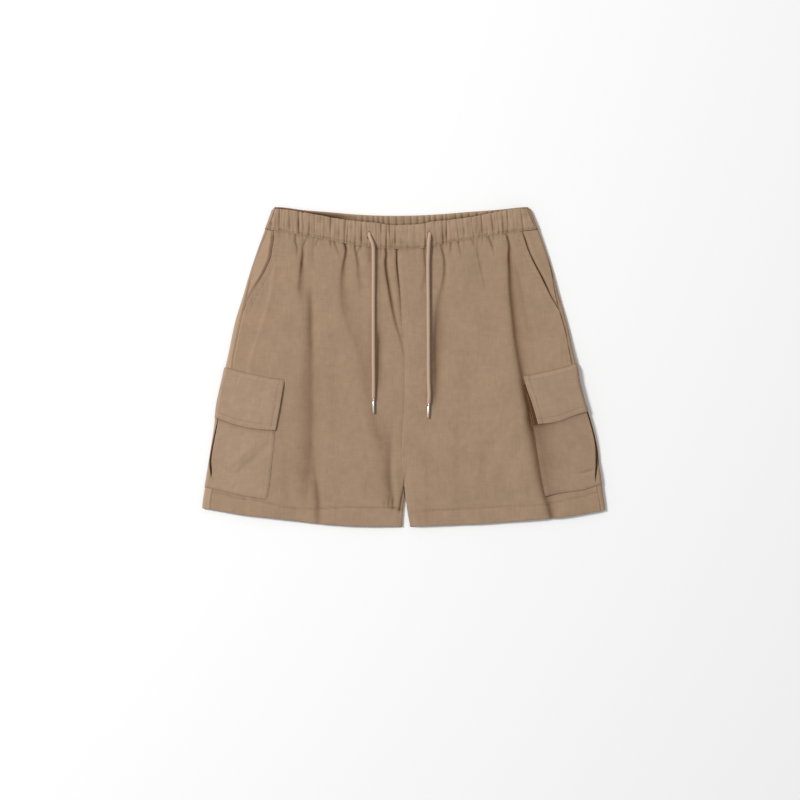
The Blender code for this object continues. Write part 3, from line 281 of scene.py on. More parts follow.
# Broad creases of the front.  columns: across and height at the top, middle
# and end, half width, depth at top, middle and end
CREASES = [
    (-160, 172, -161, 166, -162, 158, 3, 0.5, 0.3, 0),
    (-151, 170.5, -151.5, 164, -152, 156, 3, 0.6, 0.4, 0),
    (-138.9, 168, -137, 153, -137.6, 135, 3.2, 1.7, 1.1, 0),
    (-125.4, 166, -131.2, 135, -132.5, 90, 4.2, 2.1, 2, 0),
    (-116.5, 164, -116.5, 146, -116.5, 122, 3.2, 1, 0.6, 0),
    (-109.5, 163, -112.5, 155, -114.5, 145, 3, 1.1, 0.6, 0),
    (-120, 110, -121.5, 0, -124, -142, 9, 0, 1.6, 0.5),
    (-99, 161, -99.5, 154, -100, 146, 3, 0.8, 0.4, 0),
    (-88.3, 160, -85, 150, -80.5, 135, 3, 1.4, 0.9, 0),
    (-76.5, 158.5, -77.5, 132, -70, 60, 4, 2.2, 1.6, 0),
    (-62, 155.5, -60.5, 143, -60, 128, 3.2, 1, 0.7, 0),
    (-55.5, 154.5, -59.5, 124, -55, 86, 4, 1.2, 1, 0),
    (-43.5, 153, -43.5, 141, -43, 126, 3, 0.9, 0.6, 0),
    (-33, 152, -33, 144, -32.5, 134, 3, 0.8, 0.4, 0),
    (-23.4, 151, -20.5, 112, -3, 30, 4.2, 2.2, 1.7, 0.4),
    (-8.7, 150.5, -7, 110, -4.5, 48, 3.6, 2.1, 1.3, 0.2),
    (-12, -60, -19.5, -130, -13, -182, 4.5, 0.2, 1.7, 0.4),
    (-42, -66, -34, -86, -26, -100, 5, 0.2, 0.9, 0.2),
    (-119, -144, -110, -168, -112.5, -202, 4, 0.7, 0.9, 0.4),
    (-169, 114, -181, 58, -198, -2, 6.5, 0, -0.8, 0),
    (8.5, 151, 8.5, 140, 8.5, 120, 4, 0.6, 0.3, 0),
    (25.6, 150.5, 27, 134, 28, 112, 3.2, 1.5, 0.8, 0),
    (36.5, 153, 36.5, 144, 36.5, 132, 3, 0.9, 0.4, 0),
    (48, 154.5, 51, 128, 42, 70, 4.4, 2.1, 1.6, 0.1),
    (38, 84, 38.5, 20, 37, -56, 9, 0.1, 0.9, 0),
    (59.5, 157.5, 59.8, 147, 59.8, 136, 3, 1.5, 0.8, 0),
    (69.5, 159, 71.5, 149, 73.5, 138, 3, 1.1, 0.6, 0),
    (85.5, 163, 88.5, 156, 92, 148, 3, 1, 0.5, 0),
    (94, 164.5, 98.5, 126, 105, 96, 5, 0.9, 0.8, 0),
    (108.5, 167, 112.5, 155, 116, 142, 3.4, 1.9, 1.1, 0),
    (119, 168.5, 120, 162, 121.5, 154, 3, 0.8, 0.4, 0),
    (129.5, 171, 133.5, 112, 143.5, 10, 4.4, 2.4, 2, 0),
    (134.5, 110, 145, 0, 158.5, -76, 4, 0, 1.9, 0.8),
    (141, 130, 148, 92, 157, 44, 6, 0.2, 0.8, 0),
]

# Sharper folds and long soft ones.  Rows down each fold with columns: across,
# height, width on its left, width on its right, depth.  A row of three
# columns leaves out the widths, which are those of the row before it.
FOLDS = [
    [(-138.8, 169.6, 1.4, 1.6, 1.4), (-138.8, 160.6, 1.6), (-136.9, 153, 1.5, 1.9, 1.4),
     (-137.5, 138.9, 1.9, 2.6, 0)],
    [(-124.1, 165.8, 1.4, 1.5, 0.9), (-129.5, 154.2, 1.4, 1.6, 1.2),
     (-129.8, 145.3, 1.3, 2.2, 2.1), (-131.1, 133.8, 1.4, 2.8, 3),
     (-132.4, 117.1, 2.5, 6.2, 2.2), (-133.4, 101.8, 3, 8, 1.9),
     (-131.1, 90.2, 3.8, 8, 0.9), (-131.1, 78.3, 0)],
    [(-120.3, 105, 4, 4, 0), (-120.3, 88, 5, 4.5, 1.6), (-120, 60.8, 5.5, 4.8, 2.5),
     (-119.3, 22.4, 9, 5.4, 2.2), (-119.6, -16, 12, 8, 1.95),
     (-118.6, -67, 15.5, 6.6, 1.85), (-121.6, -118.4, 11.5, 8.6, 1.9),
     (-124.5, -140, 10, 8, 1.6), (-125.5, -160, 8, 7, 1), (-125.5, -178, 0.2),
     (-125.5, -188, 0)],
    [(-116, -112, 3, 3, 0), (-114.5, -135, 4, 4, 0.9), (-111.5, -155, 5, 4, 1.8),
     (-110.4, -169.6, 6, 4.4, 1.8), (-109.8, -182.4, 5.6, 4.6, 1.65),
     (-110.2, -202.9, 5, 4.6, 1.6)],
    [(-116.4, 151.7, 1.9, 2.6, 0.5), (-116.4, 135, 2.6, 3.6, 0.6), (-116.4, 122.2, 0)],
    [(-109.3, 164.5, 1.3, 1.3, 0.8), (-111.9, 159.4, 1), (-113.2, 153, 0)],
    [(-104.9, 164.5, 1.3, 1.3, 0.6), (-104.9, 156.8, 0)],
    [(-93.3, 159.4, 1.2, 1.2, 0.9), (-92.1, 151.7, 0)],
    [(-89.5, 161.9, 1.3, 1.3, 1), (-85.7, 151.7, 0.9), (-81.8, 140.2, 0.3),
     (-79.9, 135, 0)],
    [(-76.3, 159.4, 1.3, 1.6, 1.9), (-74.4, 153, 1.4, 2, 2.9),
     (-74.9, 144, 1.4, 2.6, 2.9), (-76.8, 135, 1.6, 3.4, 2.6),
     (-78.6, 122.2, 2.1, 4.6, 2), (-79.7, 110.7, 2.6, 5.6, 1.6),
     (-79.5, 99.2, 3, 8, 1.5), (-78.8, 82.4, 3.6, 11, 1.3), (-74.3, 65, 5, 14, 1.1),
     (-67.2, 45.7, 6.5, 16, 1.1), (-57.5, 24.8, 7.5, 15, 1.1),
     (-49.8, -3.2, 7.5, 13, 1), (-45.4, -35.2, 6.5, 11, 0.9), (-38, -67.2, 8, 8, 1.2),
     (-32.6, -90.2, 8, 7, 1.1), (-26.2, -112.2, 6, 6.4, 0)],
    [(-56.2, 154.2, 1.3, 1.3, 0.9), (-58.8, 147.8, 0.9), (-61.3, 140.2, 0)],
    [(-62.6, 151.7, 1.4, 1.6, 1.3), (-60.7, 142.7, 1.4, 2.2, 1.6),
     (-59, 132.5, 1.8, 3, 1.5), (-58.1, 119.7, 2.2, 4.6, 1.2),
     (-56.6, 104.9, 3.2, 6.4, 1), (-56.3, 84.2, 4, 7.4, 0)],
    [(-43.4, 150.4, 1.8, 2, 0.8), (-43.4, 137.6, 0.9), (-42.8, 126.1, 1.9, 2.3, 0)],
    [(-23.4, 151.7, 1.2, 1.6, 1.8), (-22.8, 145.3, 1.3, 2, 2.7),
     (-23.7, 135, 1.3, 2.5, 3.3), (-22.8, 122.2, 1.4, 2.6, 3.1),
     (-20.4, 106.9, 1.5, 2.8, 3), (-17.4, 89, 1.6, 3, 2.8), (-14.5, 73.6, 1.8, 3, 2.3),
     (-11, 58.2, 2, 2.8, 1.8), (-6.4, 42.9, 1.8, 2.4, 1.3), (-3, 28.8, 1.6, 2.2, 0.9),
     (-0.5, 17.3, 1.5, 2, 0.4), (0.2, 8.3, 1.3, 1.8, 0)],
    [(-9, 150.4, 0.9, 0.8, 2.4), (-9.1, 135, 1, 0.9, 3.3), (-7.6, 118.4, 1.2, 1, 2.7),
     (-5.6, 99.2, 1.3, 1, 2), (-4.2, 81.3, 1.2), (-2.9, 60.8, 1.4, 1.2, 0.5),
     (0.1, 22.4, 1.3, 1.9, 0)],
    [(-25.7, -56.6, 5.6, 5.8, 0), (-22.6, -82.6, 12, 6.4, 0.8),
     (-19.6, -98.5, 14, 5.6, 1.3), (-19, -123.4, 12.5, 4.6, 1.8),
     (-18.9, -137.8, 10.5, 4.2, 2.1), (-18, -151.7, 8, 4.8, 2.2),
     (-16.5, -167, 8, 5.4, 1.9), (-14.6, -178.8, 6.6, 4.6, 1.4),
     (-13.6, -186.8, 4.6, 4, 0)],
    [(0.4, -133, 0.9, 1, 0), (0.2, -143, 1.2), (-1.6, -157, 0.9, 1.2, 3.2),
     (-4, -169, 1, 1.5, 3.2), (-5.2, -176, 1, 1.7, 3), (-6.1, -182.5, 1.1, 1.8, 2.8),
     (-6.6, -187, 0)],
    [(-165, 144, 2.6, 2.8, 0), (-166.6, 124.8, 2.6, 4.1, -0.8),
     (-169.9, 99.2, 2.8, 4.3, -1), (-174.9, 77.4, -1), (-181.9, 54.4, -1),
     (-188.7, 35.2, -1), (-194.5, 14.7, 2.8, 3.8, -0.9), (-198.3, -0.6, 2.8, 3.3, -0.7)],
    [(25.7, 152.4, 1.3, 1.5, 1.3), (27, 135, 1.3, 1.6, 1.4), (28, 124.8, 1.5, 1.9, 0.8),
     (24.1, 98.8, 3.3, 4.3, 0.5), (22.1, 60.8, 5.3, 4.3, 0)],
    [(47.5, 154.2, 1.3, 1.8, 1.4), (50.7, 142.7, 1.4, 2, 1.9),
     (51.8, 131.2, 1.5, 2.2, 1.8), (50.9, 114.6, 1.8, 3, 1.5),
     (48.9, 103, 2.4, 4.5, 1.3), (45.1, 86.4, 4.5, 5.5, 1.5), (41.6, 71, 4, 8, 2.2),
     (39.8, 48, 3, 8.5, 2.9), (39.2, 24.6, 2.8, 8, 3.2), (39.8, -8.8, 3.2, 6.4, 3),
     (39.6, -33, 3.5, 6.4, 2.2), (39.7, -57, 4.5, 6.4, 0)],
    [(59.6, 155.5, 1.2, 1.3, 1), (59.4, 141.4, 0)],
    [(69.9, 159.4, 1.2, 1.2, 0.8), (71.8, 149.1, 0.7), (73.1, 140.2, 0)],
    [(85.9, 165.1, 1.2, 1.3, 1), (88.4, 159.4, 0.9), (91.6, 153, 1.3, 1.3, 0)],
    [(93.5, 147.8, 1.3, 1.5, 0.5), (97.4, 129.9, 1.3, 1.8, 0.6),
     (101.2, 112, 1.5, 2, 0.4), (104.4, 97.9, 1.9, 2.3, 0)],
    [(108.3, 167, 1.3, 1.4, 1.3), (110.8, 160.6, 1.3, 1.5, 1.6), (113.1, 154.2, 1),
     (115.3, 141.4, 1.5, 1.8, 0)],
    [(129.4, 172.2, 1.3, 1.5, 1.3), (132.4, 165.8, 1.4, 1.9, 2.2),
     (134.5, 155.5, 1.5, 2.4, 2.9), (134.1, 142.7, 1.8, 3.8, 3.5),
     (134.9, 124.8, 2.2, 5.4, 3.3), (136, 99.2, 2.5, 7.2, 3.1),
     (137.9, 80, 2.7, 8, 3.1), (140.6, 54.4, 2.8, 8.6, 3.1), (143.7, 28.8, 3, 8.2, 3.1),
     (147, 9.6, 3.4, 7.2, 3.2), (151.6, -16.4, 4.2, 6.6, 3.8),
     (155.1, -35.6, 4.4, 7.5, 4.3), (158.9, -51.8, 4.8, 8.4, 4.7),
     (160.5, -66, 5.6, 9, 4.6), (164.6, -84, 6.4, 9.7, 4.2),
     (169.9, -112, 6.2, 12.4, 3.5), (174.1, -137.6, 5.6, 12.1, 3.2),
     (180.9, -165.8, 4.6, 10.1, 3), (186.9, -185, 4.4, 6.1, 3),
     (189.9, -201.6, 3.7, 5.1, 3)],
    [(140.9, 137.6, 2.6, 3.8, 0), (144.7, 122.2, 0.7), (149.2, 99.2, 0.7),
     (153.7, 73.6, 2.6, 4.5, 0.6), (158.2, 45.4, 3.2, 5.1, 0.4),
     (162.7, 14.7, 3.8, 6.4, 0)],
    [(-31.9, 56, 2, 3, 0.6), (-32.6, 34, 2.4, 5, 2.4), (-33.1, -16, 2.6, 5.6, 1.6),
     (-33.5, -34, 2.6, 5, 0)],
    [(-19.7, -163, 1.1, 1.1, 0), (-19.9, -173, 0.9), (-19.9, -183, 0)],
    [(-14.1, -163, 1.1, 1.1, 0), (-14.3, -172, 1), (-14.3, -183, 0)],
    [(-25.5, -167, 1.1, 1.1, 0), (-25.5, -174, 0.7), (-25.5, -181, 0)],
    [(25.7, -92.8, 3.8, 6.4, 0), (28.3, -131.2, 0.35), (29.5, -169.6, 0.4),
     (29.5, -202.9, 0.4)],
    [(69.2, -41.6, 5.1, 9, 0), (66.7, -80, 0.35), (65.4, -131.2, 0.4),
     (67.9, -169.6, 0.3), (69.2, -202.9, 0.3)],
    [(94.8, -67.2, 5.1, 9, 0), (97.4, -105.6, 0.3), (99.9, -156.8, 0.3),
     (101.2, -200.3, 0.2)],
    [(-86.9, 48, 5.1, 9, 0), (-89.5, -3.2, 0.3), (-92.1, -80, 0.35), (-88.2, -144, 0.3),
     (-85.7, -195.2, 0.2)],
    [(-153.5, 48, 5.1, 7.7, 0), (-157.3, -16, 0.3), (-154.8, -92.8, 0.35),
     (-150.9, -169.6, 0.3), (-149.7, -195.2, 0.2)],
]

# Creases of the cargo pockets, with the columns of FOLDS
POCKET_FOLDS = {
    "right": [
        [(-173, -94.6, 7, 8, 0), (-181.8, -104.3, 0.7), (-197.1, -119.7, 8, 9, 1),
         (-209.9, -131.2, 0.9), (-221.4, -142.7, 7, 8, 0)],
        [(-181.8, -89, 7, 7, 0), (-197.1, -103, -0.5), (-212.5, -115.8, -0.5),
         (-227.8, -128.6, 5, 5, 0)],
        [(-209.9, -145.3, 2, 2.5, 0), (-215, -150.4, 0.4), (-221.4, -156.8, 0)],
        [(-196, -76, 7, 7, 0), (-205, -84, 0.35), (-222, -94, 0)],
    ],
    "left": [
        [(245.2, -127.6, 7, 8, 0.5), (238.8, -131.3, 6, 7, 1.1),
         (227.8, -135, 7, 8, 0.8), (221.4, -137.6, 6, 7, 0)],
        [(182, -92, 6, 7, 0), (188, -112, 0.4), (190, -140, 0)],
        [(236, -84, 8, 8, 0), (222, -96, 0.35), (205, -110, 0)],
    ],
}

# Free runs of the drawstring: points of each centre line.
# columns: across, height on the drawing, height over the floor
DRAWSTRING = {
    "right": [(-44.4, 170.8, 8.1), (-44.2, 168.6, 9.9), (-43.2, 165.6, 11.4),
        (-41.4, 161.6, 11.9), (-39.7, 156.6, 11.6), (-39, 150, 10.7), (-38.9, 137, 9.8),
        (-39, 110, 9), (-39.2, 70, 8.7), (-39.1, 22, 8.6), (-38.9, -18, 8.6),
        (-39, -40, 8.5)],
    "left": [(32.9, 171, 8.1), (32.7, 168.6, 9.9), (32.4, 165.6, 11.4),
        (31.9, 161, 11.9), (31.6, 155.6, 11.6), (31.4, 149, 10.7), (30.8, 136, 9.8),
        (30.9, 110, 9), (31.2, 70, 8.7), (31.3, 22, 8.6), (31.6, -18, 8.6),
        (32.2, -35, 8.5), (31.6, -46.2, 8.5)],
}


# ------------------------------------------------------------ small helpers
def mix(start, end, share):
    return start + (end - start) * share


def ease(share):
    share = np.clip(share, 0.0, 1.0)
    return share * share * (3 - 2 * share)


def bump(offset, width):
    """Round bump, 1 at its middle."""
    return np.exp(-((offset / width) ** 2))


def least(*fields):
    return np.minimum.reduce(np.broadcast_arrays(*fields))


def above(field):
    return np.maximum(field, 0)


def stack(*parts):
    """Points or lengths whose coordinates are the given fields."""
    return np.stack(parts, axis=-1)


class Line:
    """Smooth line through a table's rows, read by its first column."""

    def __init__(self, rows, column=1):
        ordered = sorted(rows)
        self.keys = np.array([row[0] for row in ordered], float)
        self.values = np.array([row[column] for row in ordered], float)
        chords = np.diff(self.values) / np.diff(self.keys)
        inner = (chords[:-1] + chords[1:]) / 2
        self.slopes = np.concatenate([chords[:1], inner, chords[-1:]])

    def __call__(self, key):
        key = np.asarray(key, float)
        i = np.searchsorted(self.keys, key, side="right") - 1
        i = np.clip(i, 0, len(self.keys) - 2)
        span = self.keys[i + 1] - self.keys[i]
        t = np.clip((key - self.keys[i]) / span, 0, 1)
        bend = span * t * (1 - t) * (self.slopes[i] * (1 - t) - self.slopes[i + 1] * t)
        before = self.slopes[0] * np.minimum(key - self.keys[0], 0)
        after = self.slopes[-1] * above(key - self.keys[-1])
        return mix(self.values[i], self.values[i + 1], ease(t)) + bend + before + after


def per_side(rows, first=1):
    """The right and the left line of a table with a column for each."""
    return {side: Line(rows, first + number) for number, side in enumerate(SIDES)}


def crumple(seed, size_across, size_down):
    """Soft random relief from -1 to 1 with cells of the given size."""
    cells = 101
    lattice = np.random.default_rng(seed).uniform(-1, 1, (cells, cells))

    def relief(across, height):
        x, y = across / size_across + 50.3, height / size_down + 50.7
        i, j = np.floor(x).astype(int), np.floor(y).astype(int)
        share = ease(x - i)
        low, high = (
            mix(lattice[i % cells, row % cells], lattice[(i + 1) % cells, row % cells], share)
            for row in (j, j + 1)
        )
        return mix(low, high, ease(y - j))

    return relief


REACH = per_side(OUTLINE)
SEAM_CLOTH = per_side(SIDE_SEAM)
MOUTH_EDGE = per_side(MOUTH)
INNER = per_side(INNER_EDGE)
SLIT_CLOTH = per_side(SLIT)
SLIT_WIDTH = per_side(SLIT, 3)
waist_seam, hem, hem_line = Line(WAIST_SEAM), Line(HEM), Line(HEM_LINE)
band_top_front, band_top_back = Line(BAND_TOP_FRONT), Line(BAND_TOP_BACK)
large_relief, middle_relief = crumple(11, 44.0, 75.0), crumple(12, 17.0, 27.0)
small_relief, fine_relief = crumple(13, 6.5, 9.0), crumple(14, 3.1, 3.7)
rib_relief, band_relief = crumple(21, 2.6, 13.0), crumple(22, 6.0, 6.0)


def back_seam(across):
    """Waist seam of the back, which rises above the front's at the centre."""
    turn = math.pi / 2 * np.minimum(np.abs(across) / BACK_HALF_WIDTH, 1.0)
    return waist_seam(across) + BACK_RISE * np.cos(turn) ** 2


# ------------------------------------------------------ heights of the pile
class Patch:
    """A cargo pocket or flap: where its edges run, outward and up and down.

    drop is how far its top edge lies below the flap's, back the width of its
    hidden half, and top_fold and fold the radii at which its edges turn under.
    """

    def __init__(self, side, bottom, front, drop, back, top_fold, fold):
        self.side, self.drop, self.back = side, drop, back
        self.top_fold, self.fold = top_fold, fold
        self.top_line, self.bottom = Line(FLAP_TOP[side]), Line(bottom[side])
        self.front = per_side(front)[side]

    def cover(self, outward, height, margin, fall):
        """1 over the patch's area, easing to 0 past a margin round it."""
        inside = least(
            self.top_line(outward) - self.drop - height, height - self.bottom(outward),
            outward - (REACH[self.side](height) - self.back),
        )
        return ease(1 + (inside + margin) / fall)

    def row(self, across, share):
        outward = np.abs(across)
        start = self.top_line(outward) - self.drop - self.top_fold
        return mix(start, self.bottom(outward) + self.fold, share)

    def start(self, edge):
        """Cloth from the crown of the side fold to the patch's front edge."""
        return roll_centre(self.side, edge) + ROLL_CLOTH - self.front(edge - FRONT_DROP)


POCKETS = {
    side: Patch(side, POCKET_BOTTOM, POCKET_FRONT, POCKET_TOP_DROP, POCKET_BACK,
                0.0, POCKET_FOLD) for side in SIDES
}
FLAPS = {
    side: Patch(side, FLAP_BOTTOM, FLAP_FRONT, 0.0, FLAP_BACK, FLAP_FOLD, FLAP_FOLD)
    for side in SIDES
}


def underside(side, outward, height):
    """Lower face of the back: it rides over the patches' hidden halves."""
    pocket = POCKETS[side].cover(outward, height, POCKET_MARGIN, RIDE_FALL)
    return PILE * (pocket + FLAPS[side].cover(outward, height, FLAP_MARGIN, RIDE_FALL))


def flap_width(side, height):
    """How far the flap pushes the outline out past the fold under it."""
    return STEP_OUT * FLAPS[side].cover(REACH[side](height), height, FOLD_MARGIN, FOLD_FALL)


def patch_width(side, height):
    """How far both patches push it out past the panel's own fold."""
    edge = REACH[side](height)
    pocket = POCKETS[side].cover(edge, height, FOLD_MARGIN, FOLD_FALL)
    return STEP_OUT * pocket + flap_width(side, height)


def roll_centre(side, height):
    """Outward place of the line about which the panel's side fold turns."""
    return REACH[side](height) - patch_width(side, height) - ROLL


def seam_outward(side, height):
    """Outward place of the side seam on top of the garment."""
    return roll_centre(side, height) + ROLL_CLOTH - SEAM_CLOTH[side](height)


class Crease:
    """A broad soft valley along a bent line."""

    def __init__(self, row):
        keys, across = (row[5], row[3], row[1]), (row[4], row[2], row[0])
        self.end, self.top, self.half_width = row[5], row[1], row[6]
        self.line = Line(list(zip(keys, across)))
        self.depth = Line(list(zip(keys, row[:6:-1])))

    def __call__(self, across, height):
        inside = np.clip(height, self.end, self.top)
        fade = ease((height - self.end) / CREASE_FADE)
        return self.depth(inside) * fade * bump(across - self.line(inside), self.half_width)


class Fold:
    """A sharper valley whose width on each side and depth change on its way.

    Its depth also sets the shade painted in it, and narrow folds get more painted shade for
    their depth than wide ones.
    """

    def __init__(self, rows):
        points = []
        for across, height, *widths, depth in rows:
            left, right = widths or points[-1][2:4]
            dark = depth * (0.42 + 1.1 / (left + right))
            points.append((height, across, left, right, depth, dark))
        points.sort()
        self.line = Line(points)
        self.keys, _, self.left, self.right, self.depth, self.dark = zip(*points)

    def read(self, amounts, across, height):
        offset = across - self.line(np.clip(height, self.keys[0], self.keys[-1]))
        width = np.where(offset < 0, np.interp(height, self.keys, self.left),
                         np.interp(height, self.keys, self.right))
        shape = np.exp(-np.abs(offset / width) ** FOLD_POWER)
        return np.interp(height, self.keys, amounts) * shape


def fold_depth(folds, across, height):
    """How deep the cloth lies in a list of folds."""
    return sum(fold.read(fold.depth, across, height) for fold in folds)


BROAD = [Crease(row) for row in CREASES]
SHARP = [Fold(rows) for rows in FOLDS]
POCKET_SHARP = {side: [Fold(rows) for rows in POCKET_FOLDS[side]] for side in SIDES}


def gather_ends(across, height):
    """The band's gathers run on a little way into the panels below it."""
    below = waist_seam(across) - height
    depth = np.zeros_like(across)
    for number, (_, bottom, strength) in enumerate(BAND_GATHERS):
        reach = 5.0 + 6.0 * ((number * 0.618) % 1.0)
        depth += strength * bump(across - bottom, 1.5) * bump(below, reach)
    return depth


def pucker(along, off, pitch, width):
    """Small ripples across a sewn line, dying away on both sides of it."""
    wave = np.sin(along / pitch * 6.283 + 1.7 * np.sin(along / pitch * 0.9))
    return wave * bump(off, width)


def body_top(side, across, height):
    """Outer height of the body's upper layer, under any patch on it."""
    outward = np.abs(across)
    inset = REACH[side](height) - outward
    loft = mix(SIDE_LOFT, LOFT, ease(inset / SIDE_SLOPE))
    loft += GATHER_LOFT * np.exp(-above(waist_seam(across) - height) / GATHER_REACH)
    loft -= BROAD_SHARE * sum(crease(across, height) for crease in BROAD)
    dip = CENTRE_DIP * bump(np.abs(across - INNER[side](height)), CENTRE_DIP_WIDTH)
    loft -= np.where(height > CROTCH, dip, 0.0)
    grown = ease((height - MOUTH_END) / MOUTH_LIFT_GROWTH)
    loft += MOUTH_LIFT * grown * bump(outward - MOUTH_EDGE[side](height), MOUTH_LIFT_WIDTH)
    waves = 0.5 * large_relief(across, height) + 0.32 * middle_relief(across, height)
    loft += ease(inset / 12.0) * (waves + 0.12 * small_relief(across, height))
    return np.maximum(loft, LEAST_LOFT) + underside(side, outward, height)


def front_top(side, across, height):
    """Outer height of a front panel with all its folds and puckers."""
    outward = np.abs(across)
    lift = underside(side, outward, height)
    loft = body_top(side, across, height) - lift
    loft -= FOLD_SINK * fold_depth(SHARP, across, height)
    loft += 0.05 * fine_relief(across, height) - 0.7 * gather_ends(across, height)
    from_hem = height - hem_line(across)
    loft += 0.05 * pucker(across, from_hem + 4, 7.5, 7.0) - 0.4 * bump(from_hem, 1.1)
    off_mouth = MOUTH_EDGE[side](height) - outward
    puckered = 0.14 * pucker(height, off_mouth - 5, 6.0, 5.0)
    loft += ease((height - MOUTH_END + 8) / 12) * (puckered - 0.2 * bump(off_mouth - 7.2, 1.1))
    off_seam = across - INNER[side](height)
    loft += 0.08 * pucker(height, off_seam, 8.0, 4.5)
    loft += 0.3 * bump(seam_outward(side, height) - outward, 2.4)
    parted = ease((CROTCH - height) / LEG_PART)
    rolled = 1 - ease(np.abs(off_seam) / INSEAM_ROLL)
    return mix(np.maximum(loft, LEAST_LOFT), INSEAM_LOFT, parted * rolled) + lift


def front_gloom(side, across, height):
    """Painted shade in the front's folds, gathers and sewn lines, and painted light on its
    outer edges.
    """
    gloom = sum(fold.read(fold.dark, across, height) for fold in SHARP)
    gloom += 0.6 * gather_ends(across, height)
    gloom += 0.5 * bump(waist_seam(across) - height - 1.2, 1.3)
    edge_light = EDGE_LIGHT[side] * ease((105 - height) / 20) * ease((height + 5) / 10)
    gloom -= edge_light * bump(seam_outward(side, height) - np.abs(across) - 0.8, 1.1)
    # painted shade along the hem's sewn line, deepest by the crotch
    by_crotch = 1.2 * bump(across + 10, 6.5)
    return gloom + (0.35 + by_crotch) * bump(height - hem_line(across), 1.2)


# ------------------------------------------------------------ making shells
def soften(field, passes):
    """Heights of a grid smoothed over its neighbours."""
    for _ in range(passes):
        wide = np.pad(field, 1, mode="edge")
        field = (wide[:-2, 1:-1] + wide[2:, 1:-1] + wide[1:-1, :-2] + wide[1:-1, 2:]
                 + 4 * field) / 8
    return field


def hollows(level, gloom):
    """Shade to paint at each point: how deep it lies under the cloth round it, with any gloom
    added; below zero it paints light.
    """
    near = np.clip((soften(level, 10) - level) / 0.5, -1, 1)
    wide = np.clip((soften(level, 70) - level) / 1.1, 0, 1)
    return 0.4 * near + 0.45 * wide + gloom


def to_mesh(name, shape, mesh=None):
    """Mesh of a bmesh, which is let go."""
    if mesh is None:
        mesh = bpy.data.meshes.new(name)
    shape.to_mesh(mesh)
    shape.free()
    return mesh


def add_object(name, data):
    item = bpy.data.objects.new(name, data)
    bpy.context.collection.objects.link(item)
    return item


def lay_grid(name, place, columns, rows, flip):
    """Grid mesh laid on place(column, row), with a cloth layer and a layer of painted shade.

    place gives points in millimetres, the two lengths along the cloth and the painted gloom,
    such as that of what lies in a narrow opening.
    """
    shape = bmesh.new()
    bmesh.ops.create_grid(shape, x_segments=columns - 1, y_segments=rows - 1, size=0.5)
    if flip:
        bmesh.ops.reverse_faces(shape, faces=shape.faces[:])
    mesh = to_mesh(name, shape)
    spots = np.empty(len(mesh.vertices) * 3, np.float32)
    mesh.vertices.foreach_get("co", spots)
    column, row = (
        np.rint((spots[axis::3] + 0.5) * (count - 1)).astype(int)
        for axis, count in enumerate((columns, rows))
    )
    spread = np.meshgrid(np.arange(columns), np.arange(rows), indexing="ij")
    points, lengths, gloom = place(*spread)
    hollow = hollows(points[..., 2], gloom)
    mesh.vertices.foreach_set("co", (points[column, row] * MM).astype(np.float32).ravel())
    # shade painted on the cloth's colour; below zero it is painted light
    shade = mesh.attributes.new("hollow", "FLOAT", "POINT")
    shade.data.foreach_set("value", hollow[column, row].astype(np.float32))
    corners = np.empty(len(mesh.loops), np.int32)
    mesh.loops.foreach_get("vertex_index", corners)
    cloth = mesh.uv_layers.new(name="cloth")
    cloth.data.foreach_set("uv", lengths[column, row][corners].astype(np.float32).ravel())
    mesh.update()
    return mesh


def finish_piece(name, mesh, material, node):
    """Object at the origin that stands for a CAD node and rides with it."""
    mesh.shade_smooth()
    mesh.materials.append(material)
    piece = add_object(name, mesh)
    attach(piece, "root")
    if node:
        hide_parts(node)
    return piece


def shell(name, place, columns, rows, flip, material, node):
    """Cloth of one piece: a laid grid with its inner face behind it."""
    mesh = lay_grid(name, place, columns, rows, flip)
    piece = finish_piece(name, mesh, material, node)
    wall = piece.modifiers.new("wall", "SOLIDIFY")
    wall.thickness = SHELL * MM
    wall.offset = -1.0
    return piece


def sleeve(name, place, columns, rows, flip, material, node):
    """Closed casing: the last row meets the first, and both ends are shut."""
    mesh = lay_grid(name, place, columns, rows, flip)
    shape = bmesh.new()
    shape.from_mesh(mesh)
    bmesh.ops.remove_doubles(shape, verts=shape.verts[:], dist=0.002 * MM)
    rim = [edge for edge in shape.edges if edge.is_boundary]
    bmesh.ops.holes_fill(shape, edges=rim, sides=0)
    return finish_piece(name, to_mesh(name, shape, mesh), material, node)


class Marks:
    """Steps across a piece: a share of its way, and tucks at its folded edges.

    runs are even runs end to end, (end, count) after the first start.  turn is
    0 on the piece, and goes to -1 or 1 as the cloth turns under at its first
    or last edge; back is how far it runs back under there.
    """

    def __init__(self, start, *runs, first=True, last=True):
        shares = [start]
        for end, count in runs:
            shares += list(np.linspace(shares[-1], end, count + 1))[1:]
        tuck = [(turn, 0.0) for turn in (0.2, 0.4, 0.6, 0.8, 1.0)] + [(1.0, 1.5), (1.0, 3.5)]
        steps = [(share, 0.0, 0.0) for share in shares]
        if first:
            steps = [(shares[0], -turn, reach) for turn, reach in reversed(tuck)] + steps
        if last:
            steps += [(shares[-1], turn, reach) for turn, reach in tuck]
        self.share, self.turn, self.back = (np.array(part) for part in zip(*steps))
        self.count = len(steps)

    def folded(self, index, radius):
        """How far the edge stands out past its fold line, and how far it drops."""
        turn = np.abs(self.turn[index]) * math.pi
        out = radius * np.sin(turn) - self.back[index]
        return out * np.sign(self.turn[index]), radius * (1 - np.cos(turn))


def settle(side, row_line, share):
    """Height on the drawing at which a row meets the fold's turning line."""
    height = row_line(SIDES[side] * REACH[side](0.0), share)
    for _ in range(6):
        height = row_line(SIDES[side] * roll_centre(side, height), share)
    return height


